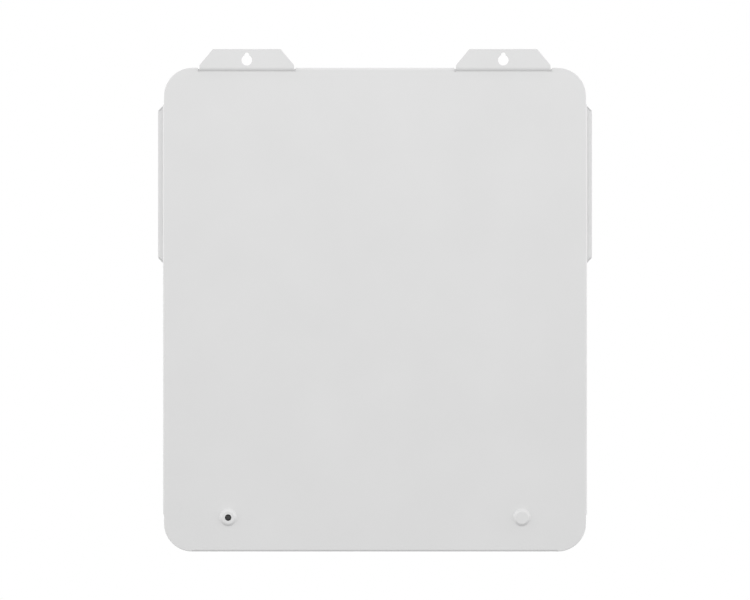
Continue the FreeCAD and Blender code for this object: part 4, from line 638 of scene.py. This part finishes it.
def lever_marks():
    """Printed line and circle of the two positions, on the breaker's nose above and below the lever."""
    face = centre_of("breaker_body")
    face.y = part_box("breaker_body")[0].y
    red = gloss_plastic("mark_red", MARK_RED, 0.35)
    green = gloss_plastic("mark_green", MARK_GREEN, 0.35)
    poles = [face - AXIS_X * POLE_OFFSET, face + AXIS_X * POLE_OFFSET]
    bm = bmesh.new()
    for pole in poles:
        start, end = (pole + AXIS_Z * height for height in ON_LINE)
        capsule_rib(bm, start, end, ON_LINE_RADIUS)
    add_piece("breaker_on_mark", bm, red, "case")
    bm = bmesh.new()
    for pole in poles:
        ring(bm, pole - AXIS_Z * OFF_RING_DROP, OFF_RING, AXIS_Y, 36, 8)
    add_piece("breaker_off_mark", bm, green, "case")


def grip_ribs():
    """Ribs moulded under the top of each grip cup, where the fingers pull."""
    material = moulded("cup_rib_plastic", CUP_GREY, 0.6, 0.8, 0.05)
    for side, outward in (("right", 1), ("left", -1)):
        low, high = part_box(f"grip_cup_{side}")
        floor_x, mouth_x = (low.x, high.x) if outward > 0 else (high.x, low.x)
        inner = floor_x + outward * RIB_FROM_FLOOR
        outer = mouth_x - outward * RIB_FROM_MOUTH
        bm = bmesh.new()
        for i in range(CUP_RIBS):
            y = (low.y + high.y) / 2 + (i - (CUP_RIBS - 1) / 2) * RIB_PITCH
            z = high.z - CUP_RIM
            capsule_rib(bm, Vector((inner, y, z)), Vector((outer, y, z)), RIB_RADIUS, 12)
        add_piece(f"grip_ribs_{side}", bm, material, "case")


def port_contacts():
    """Sprung gold contacts in each data port."""
    low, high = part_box("comm_ports")
    middle = (low + high) / 2
    gold = turned_metal("contact_gold", GOLD, middle, "Z", 0.2)
    for port in range(PORTS):
        x = middle.x + (port - (PORTS - 1) / 2) * PORT_PITCH
        bm = bmesh.new()
        for i in range(CONTACTS):
            contact_x = x + (i - (CONTACTS - 1) / 2) * CONTACT_PITCH
            root = Vector((contact_x, middle.y + CONTACT_ROOT[0], high.z - CONTACT_ROOT[1]))
            bend = Vector((contact_x, middle.y + CONTACT_BEND[0], low.z + CONTACT_BEND[1]))
            tip = Vector((contact_x, middle.y + CONTACT_TIP[0], low.z + CONTACT_TIP[1]))
            capsule_rib(bm, root, bend, CONTACT_RADIUS, 8, 2)
            capsule_rib(bm, bend, tip, CONTACT_RADIUS, 8, 2)
        add_piece(f"port_contacts_{port + 1}", bm, gold, "case")


def painted_shade_disc():
    """Dark disc behind the holed dimple's crown, where the third wall screw goes: painted shade that darkens
    the hole.
    """
    x, z = FIXING
    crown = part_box("rear_panel")[1].y - SHEET
    bm = bmesh.new()
    rings = []
    for y in (crown, crown - SHADE_DISC_THICKNESS):
        loop = []
        for i in range(SHADE_DISC_SEGMENTS):
            angle = math.tau * i / SHADE_DISC_SEGMENTS
            point = (x + SHADE_DISC_RADIUS * math.cos(angle), y, z + SHADE_DISC_RADIUS * math.sin(angle))
            loop.append(bm.verts.new(point))
        rings.append(loop)
    for i in range(SHADE_DISC_SEGMENTS):
        j = (i + 1) % SHADE_DISC_SEGMENTS
        bm.faces.new((rings[0][i], rings[0][j], rings[1][j], rings[1][i]))
    bm.faces.new(rings[0])
    bm.faces.new(rings[1][::-1])
    # Dark grey for the painted shade in the hole.
    rubber_and_painted_shade = moulded("painted_shade_disc_grey", SHADE_DISC_GREY, 0.6, 0.3, 0.02)
    add_piece("painted_shade_disc", bm, rubber_and_painted_shade, "case")


def socket_seals():
    """Seals round each power socket's barrel, and the insulating cap on its contact."""
    rubber_and_painted_shade = foam()
    cap_plastic = moulded("contact_cap", PLASTIC_BLACK, 0.4)
    for name in ("plus", "minus"):
        mouth = centre_of(f"power_socket_{name}")
        mouth.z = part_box(f"power_socket_{name}")[0].z
        bm = bmesh.new()
        for height in SEAL_HEIGHTS:
            ring(bm, mouth + AXIS_Z * height, SEAL_RING, AXIS_Z, 72, 12)
        add_piece(f"socket_seal_{name}", bm, rubber_and_painted_shade, "case")
        bm = bmesh.new()
        start, end = (mouth + AXIS_Z * height for height in CONTACT_CAP)
        capsule_rib(bm, start, end, CONTACT_CAP_RADIUS, 24)
        add_piece(f"socket_contact_cap_{name}", bm, cap_plastic, "case")


# --- stage --------------------------------------------------------------------------------------------
def make_floor():
    """Round pale floor under the unit, with a softly rounded rim."""
    level = cad_box[0][2] - FLOOR_DROP
    bm = bmesh.new()
    loops = []
    for share, drop in FLOOR_RIM:
        radius = FLOOR_RADIUS * share
        loop = []
        for i in range(FLOOR_SEGMENTS):
            angle = math.tau * i / FLOOR_SEGMENTS
            loop.append(bm.verts.new((radius * math.cos(angle), radius * math.sin(angle), level - drop)))
        loops.append(loop)
    bm.faces.new(loops[0])
    for upper, lower in zip(loops, loops[1:]):
        for i in range(FLOOR_SEGMENTS):
            j = (i + 1) % FLOOR_SEGMENTS
            bm.faces.new((upper[i], lower[i], lower[j], upper[j]))
    mesh = bpy.data.meshes.new("floor")
    bmesh.ops.recalc_face_normals(bm, faces=bm.faces)
    bm.to_mesh(mesh)
    bm.free()
    mesh.materials.append(pale_floor())
    floor = bpy.data.objects.new("floor", mesh)
    bpy.context.scene.collection.objects.link(floor)
    floor.visible_diffuse = False


def make_sky():
    """White surroundings, brighter from above and the sides and darker from below."""
    world = bpy.data.worlds.new("studio")
    bpy.context.scene.world = world
    world.use_nodes = True
    tree = world.node_tree
    tree.nodes.clear()

    def node(kind, **settings):
        made = tree.nodes.new(kind)
        for key, value in settings.items():
            setattr(made, key, value)
        return made

    def maths(operation, first, second):
        made = node("ShaderNodeMath", operation=operation)
        for i, value in enumerate((first, second)):
            if isinstance(value, (int, float)):
                made.inputs[i].default_value = value
            else:
                tree.links.new(value, made.inputs[i])
        return made.outputs["Value"]

    split = node("ShaderNodeSeparateXYZ")
    tree.links.new(node("ShaderNodeTexCoord").outputs["Generated"], split.inputs["Vector"])
    x, z = split.outputs["X"], split.outputs["Z"]
    sides = maths("MULTIPLY", maths("MULTIPLY", x, x), SKY_SIDES)
    above = maths("MULTIPLY", maths("MAXIMUM", z, 0.0), SKY_TOP)
    below = maths("MULTIPLY", maths("MAXIMUM", maths("MULTIPLY", z, -1.0), 0.0), SKY_GROUND)
    level = maths("ADD", maths("ADD", maths("ADD", sides, above), below), SKY_LEVEL)
    soft = node("ShaderNodeBackground")
    tree.links.new(level, soft.inputs["Strength"])
    white = node("ShaderNodeBackground")
    white.inputs["Strength"].default_value = BACKGROUND
    white.inputs["Color"].default_value = (1, 1, 1, 1)
    soft.inputs["Color"].default_value = (1, 1, 1, 1)
    mix = node("ShaderNodeMixShader")
    tree.links.new(node("ShaderNodeLightPath").outputs["Is Camera Ray"], mix.inputs["Fac"])
    tree.links.new(soft.outputs["Background"], mix.inputs[1])
    tree.links.new(white.outputs["Background"], mix.inputs[2])
    tree.links.new(mix.outputs["Shader"], node("ShaderNodeOutputWorld").inputs["Surface"])


def make_lights():
    low, high = (Vector(corner) for corner in cad_box)
    middle = (low + high) / 2
    for name, place, size, power in SOFTBOXES:
        light = bpy.data.lights.new(name, "AREA")
        light.shape = "RECTANGLE"
        light.size, light.size_y = size
        light.energy = power
        lamp = bpy.data.objects.new(name, light)
        lamp.location = Vector(place) + AXIS_Z * high.z
        lamp.rotation_euler = (middle - lamp.location).to_track_quat("-Z", "Y").to_euler()
        bpy.context.scene.collection.objects.link(lamp)


def make_camera():
    data = bpy.data.cameras.new("camera")
    data.sensor_width = SENSOR
    data.lens = SENSOR * CAMERA_DISTANCE / VIEW_WIDTH
    data.clip_end = 50.0
    panel_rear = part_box("rear_panel")[1].y - PANEL_STANDOFF
    camera = bpy.data.objects.new("camera", data)
    camera.location = (0.0, panel_rear + CAMERA_DISTANCE, -VIEW_DROP)
    camera.rotation_euler = (math.pi / 2, 0.0, math.pi)
    bpy.context.scene.collection.objects.link(camera)
    bpy.context.scene.camera = camera


bpy.context.scene.view_settings.view_transform = "Standard"
make_camera()
make_sky()
make_lights()
make_floor()
smooth_cad()
dress_all()
charge_lights(smoked_lens())
button_mark()
lever_marks()
grip_ribs()
port_contacts()
painted_shade_disc()
socket_seals()
